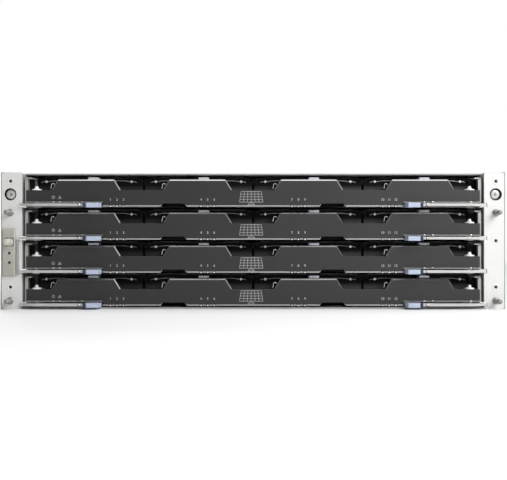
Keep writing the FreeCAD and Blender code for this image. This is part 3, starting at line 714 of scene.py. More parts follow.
def addMap(bm, top, ink):
    # slot map of the drawer, drawn in perspective
    look = mapLook
    x = look["x"]
    low, high = top - look["lowDrop"], top - look["topDrop"]
    for row in range(look["rows"] + 1):
        share = row / look["rows"]
        half = look["lowHalf"] + (look["topHalf"] - look["lowHalf"]) * share
        z = low + (high - low) * share
        addStroke(bm, [(x - half, z), (x + half, z)], *ink)
    for column in range(look["columns"] + 1):
        across = 2 * column / look["columns"] - 1
        addStroke(bm, [(x + across * look["lowHalf"], low), (x + across * look["topHalf"], high)], *ink)
    wide = look["pointerHalf"]
    tip = wide * look["pointerTip"]
    under, over = top - look["pointerLowDrop"], top - look["pointerTopDrop"]
    pointer = [(x - wide, under), (x - tip, over), (x + tip, over), (x + wide, under), (x - wide, under)]
    addStroke(bm, pointer, *ink)


# Light pipes along the drawer's lower edge, one under each number and icon, the numbers' ones in dark bezels
# painted as the shade of the gaps round them
edgeLampLook = {"width": 1.7, "height": 1.2, "proud": 0.35, "depth": 1.0, "drop": 1.45, "edge": 0.25,
                "bezelWidth": 3.2, "bezelProud": 0.12, "bezelFoot": 0.1, "bezelEdge": 0.1,
                "iconRise": 2.75, "iconHeight": 1.0, "iconDepth": 0.3}


def edgeLamps(number):
    look = edgeLampLook
    half, dark = look["width"] / 2, look["bezelWidth"] / 2
    front, back = faceLow.y - look["proud"], faceLow.y + look["depth"]
    low = plateBottom(number) - look["drop"]
    high = low + look["height"]
    lamps, gapShade = bmesh.new(), bmesh.new()
    for x in printLook["groupX"]:
        for step in (-1, 0, 1):
            middle = x + step * printLook["spacing"]
            addBlock(lamps, (middle - half, front, low), (middle + half, back, high), look["edge"])
            addBlock(gapShade, (middle - dark, faceLow.y - look["bezelProud"], low - look["bezelFoot"]),
                     (middle + dark, back, plateBottom(number)), look["bezelEdge"])
    low = plateBottom(number) + look["iconRise"]
    high = low + look["iconHeight"]
    for x in printLook["iconX"]:
        addBlock(lamps, (x - half, front, low), (x + half, back + look["iconDepth"], high), look["edge"])
    addDrawerPiece(number, "edge_lamps", lamps, extras["lampClear"])
    addDrawerPiece(number, "lamp_gap_shade", gapShade, extras["darkLensAndPaintedShade"])


# Bell caps on the lever pins
capLook = {"x": 209.0, "setback": 4.6, "notchDrop": 9.0, "flange": 4.65, "flangeHeight": 1.15, "foot": 0.25,
           "round": 0.3, "shoulder": 0.35, "waistHeight": 1.9, "waistSteps": 6, "waistCurve": 4,
           "neck": 1.65, "height": 4.4, "domeShare": 0.75, "domeAngles": (0, 20, 40, 60, 75)}


def capProfile():
    look = capLook
    flange, thick, neck = look["flange"], look["flangeHeight"], look["neck"]
    shoulder = flange - look["shoulder"]
    profile = [(0, 0), (flange - look["foot"], 0), (flange, look["round"]), (flange, thick - look["round"]),
               (shoulder, thick)]
    for step in range(1, look["waistSteps"]):
        share = step / look["waistSteps"]
        profile.append((neck + (shoulder - neck) * (1 - share) ** look["waistCurve"],
                        thick + look["waistHeight"] * share))
    for angle in look["domeAngles"]:
        turn = math.radians(angle)
        fall = neck * look["domeShare"] * (1 - math.sin(turn))
        profile.append((neck * math.cos(turn), look["height"] - fall))
    return profile + [(0, look["height"])]


def pinCaps(number):
    look = capLook
    y, z = faceLow.y + look["setback"], plateTop(number) - look["notchDrop"]
    bm = bmesh.new()
    for side in sides.values():
        addTurned(bm, capProfile(), (side * look["x"], y, z), upward, steps=32)
    addDrawerPiece(number, "pin_caps", bm, extras["whiteCap"], smoothAngle=50)


# Small screws near the ends of the first row's handles
handleScrewLook = {"x": 41.6, "drop": 1.35, "proud": 0.55, "radius": 1.3,
                   "shape": ((0, -0.7), (1, -0.7), (1, 0.35), (0.8, 0.65), (0.45, 0.75), (0, 0.78))}


def handleScrews(number):
    look = handleScrewLook
    head = widen(look["shape"], look["radius"])
    y, z = handleLow.y - look["proud"], handleTop(number) - look["drop"]
    bm = bmesh.new()
    for column in columns:
        for side in sides.values():
            addTurned(bm, head, (column * columnPitch + side * look["x"], y, z), forward, steps=20)
    addDrawerPiece(number, "handle_screws", bm, finishes["screw_steel"])


# Bent spring wire along each end of a handle's top, its bends as distances from the middle and drops
wireLook = {"radius": 0.42, "proud": 0.4,
            "bends": ((22.0, 0.1), (32.5, 0.05), (36.0, 0.2), (38.8, 0.75), (41.6, 0.95), (44.5, 1.0),
                      (46.6, 1.7))}


def handleWires(number):
    look = wireLook
    y, z = handleLow.y - look["proud"], handleTop(number) - look["radius"]
    bm = bmesh.new()
    for column in columns:
        for side in sides.values():
            bends = [(column * columnPitch + side * along, y, z - drop) for along, drop in look["bends"]]
            addBar(bm, bends, look["radius"])
    addDrawerPiece(number, "handle_wires", bm, extras["studGrey"], smoothAngle=60)


# Spring hooks beside the raised parts: a curl and a tail, as shares of the reach
hookLook = {"x": -32.4, "drop": 5.0, "setback": 2.6, "wire": 0.34, "reach": 2.4, "curlRise": 0.45,
            "curlRadius": 0.62, "curlAngles": (20, 200), "curlSteps": 9,
            "tail": ((-0.72, -0.3), (-0.85, -1.0))}


def springHooks(number):
    look = hookLook
    reach = look["reach"]
    y, z = faceLow.y + look["setback"], plateTop(number) - look["drop"]
    bm = bmesh.new()
    for column in columns:
        x = column * columnPitch + look["x"]
        curl = arcPoints((x, z + reach * look["curlRise"]), reach * look["curlRadius"], *look["curlAngles"],
                         look["curlSteps"])
        tail = [(x + reach * across, z + reach * rise) for across, rise in look["tail"]]
        addBar(bm, [(px, y, pz) for px, pz in curl + tail], look["wire"])
    addDrawerPiece(number, "spring_hooks", bm, finishes["lever_steel"], smoothAngle=60)


# Black carrier noses in front of the drives
noseLook = {"sheet": 0.22, "gap": 0.02, "side": 0.1, "foot": 0.05, "top": 0.05, "edge": 0.1}


def carrierNoses(number):
    look = noseLook
    half = driveWidth / 2 - look["side"]
    low = driveLow.z - drawerShift(number) + look["foot"]
    high = driveHigh.z - drawerShift(number) - look["top"]
    bm = bmesh.new()
    for x, y in drivePlaces():
        front, back = y - look["sheet"], y - look["gap"]
        addBlock(bm, (x - half, front, low), (x + half, back, high), look["edge"], segments=1)
    addDrawerPiece(number, "carrier_noses", bm, finishes["black_plastic"])


# Black guides between the drives, in the mouths of the side channels and behind the finger notches
guideLook = {"half": 2.5, "setback": 0.1, "length": 9.0, "top": 0.3, "edge": 0.4,
             "mouthX": (212.9, 218.2), "mouthY": (15.6, 16.15), "mouthZ": (-9.0, 2.0), "mouthEdge": 0.2,
             "sealX": 76.5, "sealHalf": 12.45, "sealY": (22.5, 23.18), "sealZ": (-1.15, 2.6),
             "sealEdge": 0.1}


def drawerGuides(number):
    look = guideLook
    low = driveLow.z - drawerShift(number)
    high = driveHigh.z - drawerShift(number) - look["top"]
    bm = bmesh.new()
    for gap in gaps:
        x = gap * columnPitch
        addBlock(bm, (x - look["half"], driveLow.y + look["setback"], low),
                 (x + look["half"], driveLow.y + look["length"], high), look["edge"])
    for side in sides.values():
        left, right = onSide(side, look["mouthX"])
        (front, back), (low, high) = look["mouthY"], [plateTop(number) + rise for rise in look["mouthZ"]]
        addBlock(bm, (left, front, low), (right, back, high), look["mouthEdge"])
        x, half = side * look["sealX"], look["sealHalf"]
        (front, back), (low, high) = look["sealY"], [plateBottom(number) + rise for rise in look["sealZ"]]
        addBlock(bm, (x - half, front, low), (x + half, back, high), look["sealEdge"])
    addDrawerPiece(number, "guides", bm, finishes["black_plastic"])


# Cheeks that close the space between neighbouring handles down to a slit
cheekLook = {"slit": 1.15, "overlap": 0.6, "setback": 0.25, "depth": 6.5, "top": 2.2, "bottom": 11.5,
             "edge": 0.5}


def handleCheeks(number):
    look = cheekLook
    low, high = handleTop(number) - look["bottom"], handleTop(number) - look["top"]
    front, back = handleLow.y + look["setback"], handleLow.y + look["depth"]
    handleHalf = handleHigh.x - columns[-1] * columnPitch
    reach = columnPitch / 2 - handleHalf + look["overlap"]
    bm = bmesh.new()
    for gap in gaps:
        for side in sides.values():
            left, right = (gap * columnPitch + x for x in onSide(side, (look["slit"], reach)))
            addBlock(bm, (left, front, low), (right, back, high), look["edge"])
    # cheeks carry the handles' painted shade and painted light
    addDrawerPiece(number, "handle_cheeks", bm, extras["handlePlasticPaintedLight"])


# Lid, spindle boss, screws and blank label on every drive
lidLook = {"inset": 3.2, "lift": 0.02, "rise": 0.45, "corner": 5.0,
           "bossY": 52.0, "bossShape": ((17.0, 0.0), (16.2, 0.35), (7.65, 0.35), (6.8, 0.1), (0, 0.1)),
           "labelX": (-33.0, 33.0), "labelY": (80.0, 132.0), "labelCorner": 2.0, "labelThickness": 0.06,
           "screwInset": 3.4, "screwFoot": 2.0,
           "screwShape": ((1.7, 0.15), (0.935, 0.2), (0.85, -0.1), (0, -0.1))}


def driveLids(number):
    look = lidLook
    half, inset = driveWidth / 2 - look["inset"], look["inset"]
    top = driveHigh.z - drawerShift(number)
    face = top + look["rise"]
    head = [(look["screwFoot"], look["lift"])]
    head += [(radius, look["rise"] + along) for radius, along in look["screwShape"]]
    fromEdge = inset + look["screwInset"]
    screwPlaces = [(x, y) for x in (look["screwInset"] - half, half - look["screwInset"])
                   for y in (fromEdge, driveLength / 2, driveLength - fromEdge)]
    lids, screws, labels = bmesh.new(), bmesh.new(), bmesh.new()
    for x, y in drivePlaces():
        lid = roundedOutline(x - half, x + half, y + inset, y + driveLength - inset, look["corner"])
        addSheet(lids, lid, top + look["lift"], face)
        addTurned(lids, look["bossShape"], (x, y + look["bossY"], face), upward, steps=32)
        for screwX, screwY in screwPlaces:
            addTurned(screws, head, (x + screwX, y + screwY, top), upward, steps=14)
        (left, right), (near, far) = look["labelX"], look["labelY"]
        label = roundedOutline(x + left, x + right, y + near, y + far, look["labelCorner"])
        addSheet(labels, label, face, face + look["labelThickness"])
    addDrawerPiece(number, "drive_lids", lids, finishes["drive_metal"])
    addDrawerPiece(number, "lid_screws", screws, finishes["screw_steel"])
    addDrawerPiece(number, "drive_labels", labels, extras["paleLabel"])


# Bare sloped hem round the raised parts
crestLook = {"half": 26.75, "base": 32.2, "drop": 9.0, "front": 2.1, "back": 4.3, "seat": 0.01, "lip": 0.12,
             "topRise": 1.24, "sideRise": 0.95}


def addHem(bm, start, end, rise):
    # bent strip along an edge of the face, its slope looking outward and forward
    look = crestLook
    front, back, seat, lip = (look[key] for key in ("front", "back", "seat", "lip"))
    profile = [(front, seat), (front, lip), (front + rise - lip, rise), (back, rise), (back, seat)]
    length = math.hypot(end[0] - start[0], end[1] - start[1])
    outX, outZ = (start[1] - end[1]) / length, (end[0] - start[0]) / length
    addPrism(bm, *[[(x + outX * away, y, z + outZ * away) for y, away in profile] for x, z in (start, end)])


def crestEdges(number):
    look = crestLook
    high, low = plateTop(number), plateTop(number) - look["drop"]
    half, base = look["half"], look["base"]
    rises = (look["sideRise"], look["topRise"], look["sideRise"])
    bm = bmesh.new()
    for column in columns:
        x = column * columnPitch
        corners = [(x - base, low), (x - half, high), (x + half, high), (x + base, low)]
        for start, end, rise in zip(corners, corners[1:], rises):
            addHem(bm, start, end, rise)
    addDrawerPiece(number, "crest_edges", bm, extras["bareEdge"])


# Rubbed pads on the drawer's lower edge, two by each grip and one under each pin
padLook = {"x": (172.3, 164.2), "drop": 20.85, "width": 2.2, "height": 1.1, "proud": 0.1, "depth": 1.3,
           "edge": 0.3}


def edgePads(number):
    look = padLook
    low = plateTop(number) - look["drop"]
    half = look["width"] / 2
    bm = bmesh.new()
    for side in sides.values():
        for x in (*look["x"], capLook["x"]):
            addBlock(bm, (side * x - half, faceLow.y - look["proud"], low),
                     (side * x + half, faceLow.y + look["depth"], low + look["height"]), look["edge"])
    addDrawerPiece(number, "edge_pads", bm, finishes["stud_steel"])


# Rivet on every lever, and a dark collar on its grip painted as the shadow gap between grip and arm
leverLook = {"rivetX": 165.4, "rivetRadius": 1.3,
             "rivetShape": ((0, -0.5), (1, -0.5), (1, 0.15), (0.85, 0.45), (0.5, 0.65), (0, 0.72)),
             "collarX": (158.9, 161.2), "collarProud": 0.12, "collarEdge": 0.5}


def leverTrim(number, sideName, side):
    look = leverLook
    body = "drawer_%d_%s_lever" % (number, sideName)
    low, high = rackBox(body)
    bm = bmesh.new()
    addTurned(bm, widen(look["rivetShape"], look["rivetRadius"]),
              (side * look["rivetX"], low.y, (low.z + high.z) / 2), forward, steps=20)
    addPiece(body + "_rivet", bm, finishes["stud_steel"], body)
    low, high = rackBox("drawer_%d_%s_grip" % (number, sideName))
    left, right = onSide(side, look["collarX"])
    proud = look["collarProud"]
    bm = bmesh.new()
    addBlock(bm, (left, low.y - proud, low.z - proud), (right, high.y, high.z + proud), look["collarEdge"])
    addPiece(body + "_collar", bm, extras["gripPaintedShadow"], body)


for number in drawers:
    platePrint(number)
    edgeLamps(number)
    pinCaps(number)
    handleScrews(number)
    handleWires(number)
    springHooks(number)
    carrierNoses(number)
    drawerGuides(number)
    handleCheeks(number)
    driveLids(number)
    crestEdges(number)
    edgePads(number)
    for sideName, side in sides.items():
        leverTrim(number, sideName, side)
print("drawer fronts trimmed:", len(drawers))

# Hole line of the ears, with collars round its holes and windows
earLook = {"holeX": 232.55, "holeZs": {"left": (122.5, 21.05), "right": (122.5, 65.5, 21.05)},
           "windowZ": 109.95, "skin": 1.5, "seatY": 5.5, "headRadius": 4.6}
collarLook = {"inner": 1.75, "outer": 3.5, "foot": 0.05, "rise": 0.35, "lip": 0.3, "slope": 0.6, "fall": 0.8,
              "windowInner": 5.95, "windowOuter": 6.7, "windowDraft": 0.15, "windowFoot": -0.6,
              "windowRises": (0.12, 0.22)}


def earCollars(sideName, side):
    look = collarLook
    x, lip = side * earLook["holeX"], look["lip"]
    inner, outer, rise = look["inner"], look["outer"], look["rise"]
    collar = [(inner, look["foot"]), (inner + lip, rise), (outer - look["slope"], rise * look["fall"]),
              (outer, 0)]
    bm = bmesh.new()
    for z in earLook["holeZs"][sideName]:
        addTurned(bm, collar, (x, 0, z), forward, steps=32)
    inner, outer, (lowRise, highRise) = look["windowInner"], look["windowOuter"], look["windowRises"]
    rim = [(inner - look["windowDraft"], look["windowFoot"]), (inner, lowRise), (inner + lip, highRise),
           (outer, 0)]
    addTurned(bm, rim, (x, 0, earLook["windowZ"]), forward, steps=48)
    addChassisPiece(sideName + "_ear_collars", bm, finishes["ear_steel"], smoothAngle=50)


# Painted shade in the ears' holes and windows: dark plugs behind the holes and dark washers round the rack
# screws
holeShadeLook = {"plugRadius": 2.6, "plugDepth": 0.6, "lift": 0.02, "overlap": 0.1, "outer": 7.1,
            "thickness": 0.4}


def earSeats(sideName, side):
    look = holeShadeLook
    x, lift, thick = side * earLook["holeX"], look["lift"], look["thickness"]
    radius, depth = look["plugRadius"], look["plugDepth"]
    bm = bmesh.new()
    for z in earLook["holeZs"][sideName]:
        plug = [(0, 0), (radius, 0), (radius, depth), (0, depth)]
        addTurned(bm, plug, (x, earLook["skin"] + lift, z), backward, steps=20)
    inner, outer = earLook["headRadius"] - look["overlap"], look["outer"]
    washer = [(inner, lift), (inner, thick), (outer, thick), (outer, lift)]
    addTurned(bm, washer, (x, earLook["seatY"], earLook["windowZ"]), forward, steps=36)
    addChassisPiece(sideName + "_ear_hole_shades", bm, extras["darkLensAndPaintedShade"])


# Thin shields over the outer ends of the claw slots
shieldLook = {"x": (224.1, 226.3), "rise": 0.25, "sunk": 0.02, "over": 1.1, "edge": 0.1}


def slotShields(sideName, side):
    look = shieldLook
    left, right = onSide(side, look["x"])
    bm = bmesh.new()
    for number in drawers:
        low, high = rackBox("drawer_%d_%s_lever" % (number, sideName))
        bottom, top = low.z - look["over"], high.z + look["over"]
        addBlock(bm, (left, -look["rise"], bottom), (right, look["sunk"], top), look["edge"])
    addChassisPiece(sideName + "_slot_shields", bm, finishes["ear_steel"])


# Dark sheet edge along the outer side of each ear, painted shade where the edge rolls away
earEdgeLook = {"width": 0.6, "return": 4.0, "rise": 0.1, "sunk": 0.02}


def earEdge(sideName, side):
    look = earEdgeLook
    width = look["width"]
    low, high = rackBox(sideName + "_rack_ear")
    outer = high.x if side > 0 else -low.x
    inner, line = outer - look["return"], outer - width
    outline = [(outer, low.z), (outer, high.z), (inner, high.z), (line, high.z - width),
               (line, low.z + width), (inner, low.z)]
    bm = bmesh.new()
    addPlate(bm, [(side * x, z) for x, z in outline], -look["rise"], look["sunk"])
    addChassisPiece(sideName + "_ear_edge", bm, extras["edgeShade"])


# Rack screws in the windows: rounded head with a recess, threaded shank, hexagon socket
rackScrewLook = {"headTop": 2.3, "headShape": ((0, 0), (1, 0), (1, 0.75), (0.96, 0.9), (0.86, 1)),
                 "recess": 2.0, "recessDraft": 0.1, "recessDepth": 0.4, "shank": 2.5, "pitch": 0.8,
                 "crestShare": 0.4, "rootShare": 0.75, "threadDepth": 0.45, "plainTip": 1.5, "tipTaper": 0.9,
                 "socket": 1.5, "socketY": (0.3, 0.6)}


def rackScrews():
    look = rackScrewLook
    seat, shank, pitch = earLook["seatY"], look["shank"], look["pitch"]
    rise = seat - look["headTop"]
    length = rackBox("rack_screws")[1].y - seat
    head = [(radius, rise * share) for radius, share in widen(look["headShape"], earLook["headRadius"])]
    bottom = rise - look["recessDepth"]
    head += [(look["recess"], rise), (look["recess"] - look["recessDraft"], bottom), (0, bottom)]
    thread = [(0, 0), (shank, 0)]
    for turn in range(int((length - look["plainTip"]) / pitch)):
        thread += [(shank, pitch * (turn + look["crestShare"])),
                   (shank - look["threadDepth"], pitch * (turn + look["rootShare"]))]
    thread += [(shank - look["tipTaper"], length), (0, length)]
    bm, sockets = bmesh.new(), bmesh.new()
    for side in sides.values():
        x, z = side * earLook["holeX"], earLook["windowZ"]
        addTurned(bm, head, (x, seat, z), forward, steps=36)
        addTurned(bm, thread, (x, seat, z), backward, steps=24)
        front, back = (look["headTop"] + depth for depth in look["socketY"])
        addPlate(sockets, arcPoints((x, z), look["socket"], 0, 300, 6), front, back)
    screws = addChassisPiece("rack_screw_set", bm, finishes["screw_steel"], smoothAngle=40)
    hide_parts("rack_screws")
    addChassisPiece("rack_screw_sockets", sockets, extras["studGrey"])


# Turned bezel studs on the hole line, as radius and distance from the foot or back from the tip
studLook = {"zs": (92.3, 8.0), "length": 14.0,
            "foot": ((0, 0), (3.5, 0), (3.5, 0.9), (3.0, 1.3), (2.4, 1.5)),
            "tip": ((2.4, 5.2), (1.7, 4.6), (1.7, 3.6), (2.4, 3.0), (2.4, 1.4), (1.92, 0.5), (0.96, 0.05),
                    (0, 0))}


def bezelStuds():
    look = studLook
    bm = bmesh.new()
    for side in sides.values():
        for z in look["zs"]:
            addTurned(bm, fromBothEnds(look["foot"], look["tip"], look["length"]),
                      (side * earLook["holeX"], 0, z), forward, steps=32)
    studs = addChassisPiece("bezel_stud_set", bm, extras["studGrey"], smoothAngle=40)
    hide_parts("bezel_studs")


# Knob of the indicator module on a raised plate, with a dark border round it painted as the shade of the gap
knobLook = {"z": 64.3, "foot": ((0, 0), (3.6, 0), (3.6, 0.8), (2.4, 1.4)),
            "tip": ((2.2, 4.6), (3.1, 3.8), (3.3, 2.2), (2.9, 0.8), (1.8, 0.1), (0, 0)),
            "plateHalf": 3.3, "plateRise": 0.6, "plateEdge": 0.22,
            "gapHalf": 4.0, "gapRise": 0.1, "gapEdge": 0.07, "sunk": 0.1}


def indicatorKnob():
    look = knobLook
    x, z = -earLook["holeX"], look["z"]
    face = rackBox("indicator_module")[0].y
    knob, plate, gap = bmesh.new(), bmesh.new(), bmesh.new()
    profile = fromBothEnds(look["foot"], look["tip"], studLook["length"] + face)
    addTurned(knob, profile, (x, face, z), forward, steps=32)
    for bm, name in ((plate, "plate"), (gap, "gap")):
        half, rise, edge = (look[name + measure] for measure in ("Half", "Rise", "Edge"))
        addBlock(bm, (x - half, face - rise, z - half), (x + half, face + look["sunk"], z + half), edge)
    addChassisPiece("indicator_knob", knob, extras["creamKnob"], smoothAngle=50)
    addChassisPiece("indicator_knob_plate", plate, finishes["indicator_plastic"])
    addChassisPiece("indicator_knob_gap_shade", gap, extras["darkLensAndPaintedShade"])


# Two lamps of the indicator module, each lens in a raised ring
indicatorLook = {"zs": (53.7, 44.6), "radius": 1.3,
                 "lens": ((0, -0.4), (1, -0.4), (1, 0.05), (0.6, 0.2), (0, 0.25)),
                 "ring": ((1.3, 0), (1.4, 0.3), (1.8, 0.3), (2.0, 0))}


def indicatorLamps():
    look = indicatorLook
    face = rackBox("indicator_module")[0].y
    lens = widen(look["lens"], look["radius"])
    lenses, rings = bmesh.new(), bmesh.new()
    for z in look["zs"]:
        addTurned(lenses, lens, (-earLook["holeX"], face, z), forward, steps=24)
        addTurned(rings, look["ring"], (-earLook["holeX"], face, z), forward, steps=24)
    addChassisPiece("indicator_lamps", lenses, extras["darkLensAndPaintedShade"], smoothAngle=50)
    addChassisPiece("indicator_lamp_collars", rings, finishes["indicator_plastic"],
                    smoothAngle=50)


# Spring clip along the module's inner side, with a lug at each end
clipLook = {"x": (-226.6, -224.0), "z": (33.0, 66.0), "proud": 1.3, "edge": 0.4,
            "lugX": (-227.7, -224.4), "lugOver": 0.4, "lugHeight": 2.4, "lugProud": 1.6, "lugEdge": 0.3}


def indicatorClip():
    look = clipLook
    (left, right), (low, high) = look["x"], look["z"]
    bm = bmesh.new()
    addBlock(bm, (left, -look["proud"], low), (right, 0, high), look["edge"])
    left, right = look["lugX"]
    over, height = look["lugOver"], look["lugHeight"]
    for bottom, top in ((low - over, low + height), (high - height, high + over)):
        addBlock(bm, (left, -look["lugProud"], bottom), (right, 0, top), look["lugEdge"])
    addChassisPiece("indicator_clip", bm, finishes["zinc_steel"])


for sideName, side in sides.items():
    earCollars(sideName, side)
    earSeats(sideName, side)
    slotShields(sideName, side)
    earEdge(sideName, side)
rackScrews()
bezelStuds()
indicatorKnob()
indicatorLamps()
indicatorClip()
print("ears fitted")

# Top cover with pressed fields and a seam
coverLook = {"fieldX": ((-198.0, -14.0), (14.0, 198.0)), "fieldY": ((66.0, 548.0), (622.0, 776.0)),
             "seamY": (586.0, 587.0), "depth": 0.7, "weld": 0.001, "edge": 0.6, "edgeSegments": 3,
             "edgeAngle": 30}


def coverDepth(x, y):
    look = coverLook
    inField = any(x0 < x < x1 and y0 < y < y1 for x0, x1 in look["fieldX"] for y0, y1 in look["fieldY"])
    inSeam = look["seamY"][0] < y < look["seamY"][1]
    return look["depth"] if inField or inSeam else 0.0


def addWall(bm, first, second, start, end, bottom, top):
    # upright face where two neighbouring parts of the cover differ in height
    if first == second:
        return
    heights = sorted(bottom if depth is None else top - depth for depth in (first, second))
    corners = [(*start, heights[0]), (*end, heights[0]), (*end, heights[1]), (*start, heights[1])]
    bm.faces.new([bm.verts.new(corner) for corner in corners])


def pressedCover():
    look = coverLook
    low, high = rackBox("top_cover")
    xs = sorted([low.x, high.x, *[x for stretch in look["fieldX"] for x in stretch]])
    ys = sorted([low.y, high.y, *look["seamY"], *[y for stretch in look["fieldY"] for y in stretch]])
    bm = bmesh.new()
    depths = {}
    for i, (x0, x1) in enumerate(zip(xs, xs[1:])):
        for j, (y0, y1) in enumerate(zip(ys, ys[1:])):
            depths[i, j] = coverDepth((x0 + x1) / 2, (y0 + y1) / 2)
            for z in (high.z - depths[i, j], low.z):
                corners = ((x0, y0, z), (x1, y0, z), (x1, y1, z), (x0, y1, z))
                bm.faces.new([bm.verts.new(corner) for corner in corners])
    for i, x in enumerate(xs):
        for j, (y0, y1) in enumerate(zip(ys, ys[1:])):
            addWall(bm, depths.get((i - 1, j)), depths.get((i, j)), (x, y0), (x, y1), low.z, high.z)
    for j, y in enumerate(ys):
        for i, (x0, x1) in enumerate(zip(xs, xs[1:])):
            addWall(bm, depths.get((i, j - 1)), depths.get((i, j)), (x0, y), (x1, y), low.z, high.z)
    bmesh.ops.remove_doubles(bm, verts=bm.verts, dist=look["weld"])
    cover = addChassisPiece("pressed_cover", bm, finishes["case_steel"])
    addSoftEdge(cover, look["edge"], look["edgeSegments"], look["edgeAngle"])
    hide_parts("top_cover")


# Flush screws of the cover, each with a dark ring and a dark cross slot painted as shade
coverScrewLook = {"xs": (-212.0, 0.0, 212.0), "ys": (24.0, 210.0, 400.0, 568.0, 606.0, 790.0),
                  "head": ((3.0, -0.1), (2.9, 0.03), (0, 0.03)),
                  "ring": ((3.45, -0.05), (3.4, 0.015), (3.0, 0.015), (2.98, -0.05)),
                  "slotHalf": (0.35, 1.5), "slotZ": (0.02, 0.04)}


def coverScrews():
    look = coverScrewLook
    top = rackBox("top_cover")[1].z
    low, high = (top + rise for rise in look["slotZ"])
    heads, slots = bmesh.new(), bmesh.new()
    for y in look["ys"]:
        for x in look["xs"]:
            addTurned(heads, look["head"], (x, y, top), upward, steps=24)
            addTurned(slots, look["ring"], (x, y, top), upward, steps=24)
            for wide, long in (look["slotHalf"], reversed(look["slotHalf"])):
                left, right, near, far = x - wide, x + wide, y - long, y + long
                addSheet(slots, [(left, near), (right, near), (right, far), (left, far)], low, high)
    addChassisPiece("cover_screw_heads", heads, finishes["screw_steel"])
    addChassisPiece("cover_screw_slot_shade", slots, extras["darkLensAndPaintedShade"])


# Rivets of the drawer rails on the case walls
rivetLook = {"ys": (90.0, 190.0, 290.0, 390.0, 490.0, 560.0), "rise": 14.0, "radius": 2.4,
             "shape": ((1, -0.05), (1, 0.245), (0.75, 0.595), (0.35, 0.7), (0, 0.7))}


def wallRivets():
    look = rivetLook
    dome = widen(look["shape"], look["radius"])
    bm = bmesh.new()
    for side in sides.values():
        for number in drawers:
            for y in look["ys"]:
                place = (side * caseHigh.x, y, plateBottom(number) + look["rise"])
                addTurned(bm, dome, place, (side, 0, 0), steps=18)
    addChassisPiece("case_wall_rivets", bm, finishes["screw_steel"])


pressedCover()
coverScrews()
wallRivets()
print("case fitted")

# Pockets in the rear modules, with thin linings
pocketLook = {"gap": 0.5, "sunk": 0.1, "liningGap": 0.01, "liningSetback": 0.4, "portLining": 0.15,
              "portDepth": 13.6, "portEnd": (13.9, 13.5), "inletLining": 0.3, "inletDepth": 15.6}


def pocketOf(name):
    box = next(item["box_m"] for item in record["physics"]["openings"] if item["name"] == name)
    low, high = [(Vector(corner) - rackShift) / mm for corner in box]
    grow = Vector((pocketLook["gap"], 0, pocketLook["gap"]))
    return low - grow, high + grow


def addLining(bm, low, high, inset, depth):
    look = pocketLook
    shrink = Vector((inset, 0, inset))
    addFrame(bm, low + shrink, high - shrink, inset - look["liningGap"], rearY - depth,
             rearY - look["liningSetback"])


def addPortLining(bm, low, high):
    look = pocketLook
    front, back = (rearY - depth for depth in look["portEnd"])
    addBlock(bm, (low.x, front, low.z), (high.x, back, high.z))
    addLining(bm, low, high, look["portLining"], look["portDepth"])


# Storage ports: bright shells, a tongue in each
portLook = {"shellWidth": 1.3, "shellProud": 0.8, "shellEdge": 0.25,
            "tongueWidth": 13.0, "tongueHeight": 1.7, "tongueY": (12.0, 3.0), "tongueEdge": 0.2}


def storagePorts(unit):
    look = portLook
    wide, tall = look["tongueWidth"] / 2, look["tongueHeight"] / 2
    front, back = (rearY - depth for depth in look["tongueY"])
    sunk, proud = rearY - pocketLook["sunk"], rearY + look["shellProud"]
    shells, insides = bmesh.new(), bmesh.new()
    for port in (1, 2):
        low, high = pocketOf("io_%d_port_%d" % (unit, port))
        addFrame(shells, low, high, look["shellWidth"], sunk, proud, look["shellEdge"])
        middle = (low + high) / 2
        x, z = middle.x, middle.z
        addBlock(insides, (x - wide, front, z - tall), (x + wide, back, z + tall), look["tongueEdge"])
        addPortLining(insides, low, high)
    addChassisPiece("io_%d_port_shells" % unit, shells, finishes["stud_steel"])
    addChassisPiece("io_%d_port_insides" % unit, insides, finishes["black_plastic"])


# Network port: frame, sprung contacts as depth and height pairs, two lamps above
networkLook = {"width": 1.0, "proud": 0.5, "edge": 0.25,
               "contacts": 8, "contactInset": 2.0, "contactWire": 0.28,
               "contactBends": ((13.0, 1.2), (8.0, 3.2), (4.0, 1.0)),
               "lampInset": 1.6, "lampHalf": 1.3, "lampProud": 0.35, "lampZ": (1.6, 3.0), "lampEdge": 0.25}


def networkPort(unit):
    look = networkLook
    low, high = pocketOf("io_%d_network_port" % unit)
    surround, contacts, lamps = bmesh.new(), bmesh.new(), bmesh.new()
    sunk = rearY - pocketLook["sunk"]
    addFrame(surround, low, high, look["width"], sunk, rearY + look["proud"], look["edge"])
    addPortLining(surround, low, high)
    pitch = (high.x - low.x - 2 * look["contactInset"]) / (look["contacts"] - 1)
    for step in range(look["contacts"]):
        x = low.x + look["contactInset"] + step * pitch
        bends = [(x, rearY - depth, low.z + rise) for depth, rise in look["contactBends"]]
        addBar(contacts, bends, look["contactWire"], steps=6)
    bottom, top = (high.z + rise for rise in look["lampZ"])
    half, proud = look["lampHalf"], rearY + look["lampProud"]
    for x in (low.x + look["lampInset"], high.x - look["lampInset"]):
        addBlock(lamps, (x - half, sunk, bottom), (x + half, proud, top), look["lampEdge"])
    addChassisPiece("io_%d_network_frame" % unit, surround, finishes["black_plastic"])
    addChassisPiece("io_%d_network_contacts" % unit, contacts, extras["goldContact"],
                    smoothAngle=60)
    addChassisPiece("io_%d_network_lamps" % unit, lamps, extras["lampGreen"])


# Power inlet: black frame and lining
inletLook = {"width": 2.4, "proud": 1.4, "edge": 0.6}


def powerInlet(unit):
    look = inletLook
    low, high = pocketOf("power_%d_inlet" % unit)
    bm = bmesh.new()
    addFrame(bm, low, high, look["width"], rearY - pocketLook["sunk"], rearY + look["proud"], look["edge"])
    addLining(bm, low, high, pocketLook["inletLining"], pocketLook["inletDepth"])
    addChassisPiece("power_%d_inlet_frame" % unit, bm, finishes["black_plastic"])


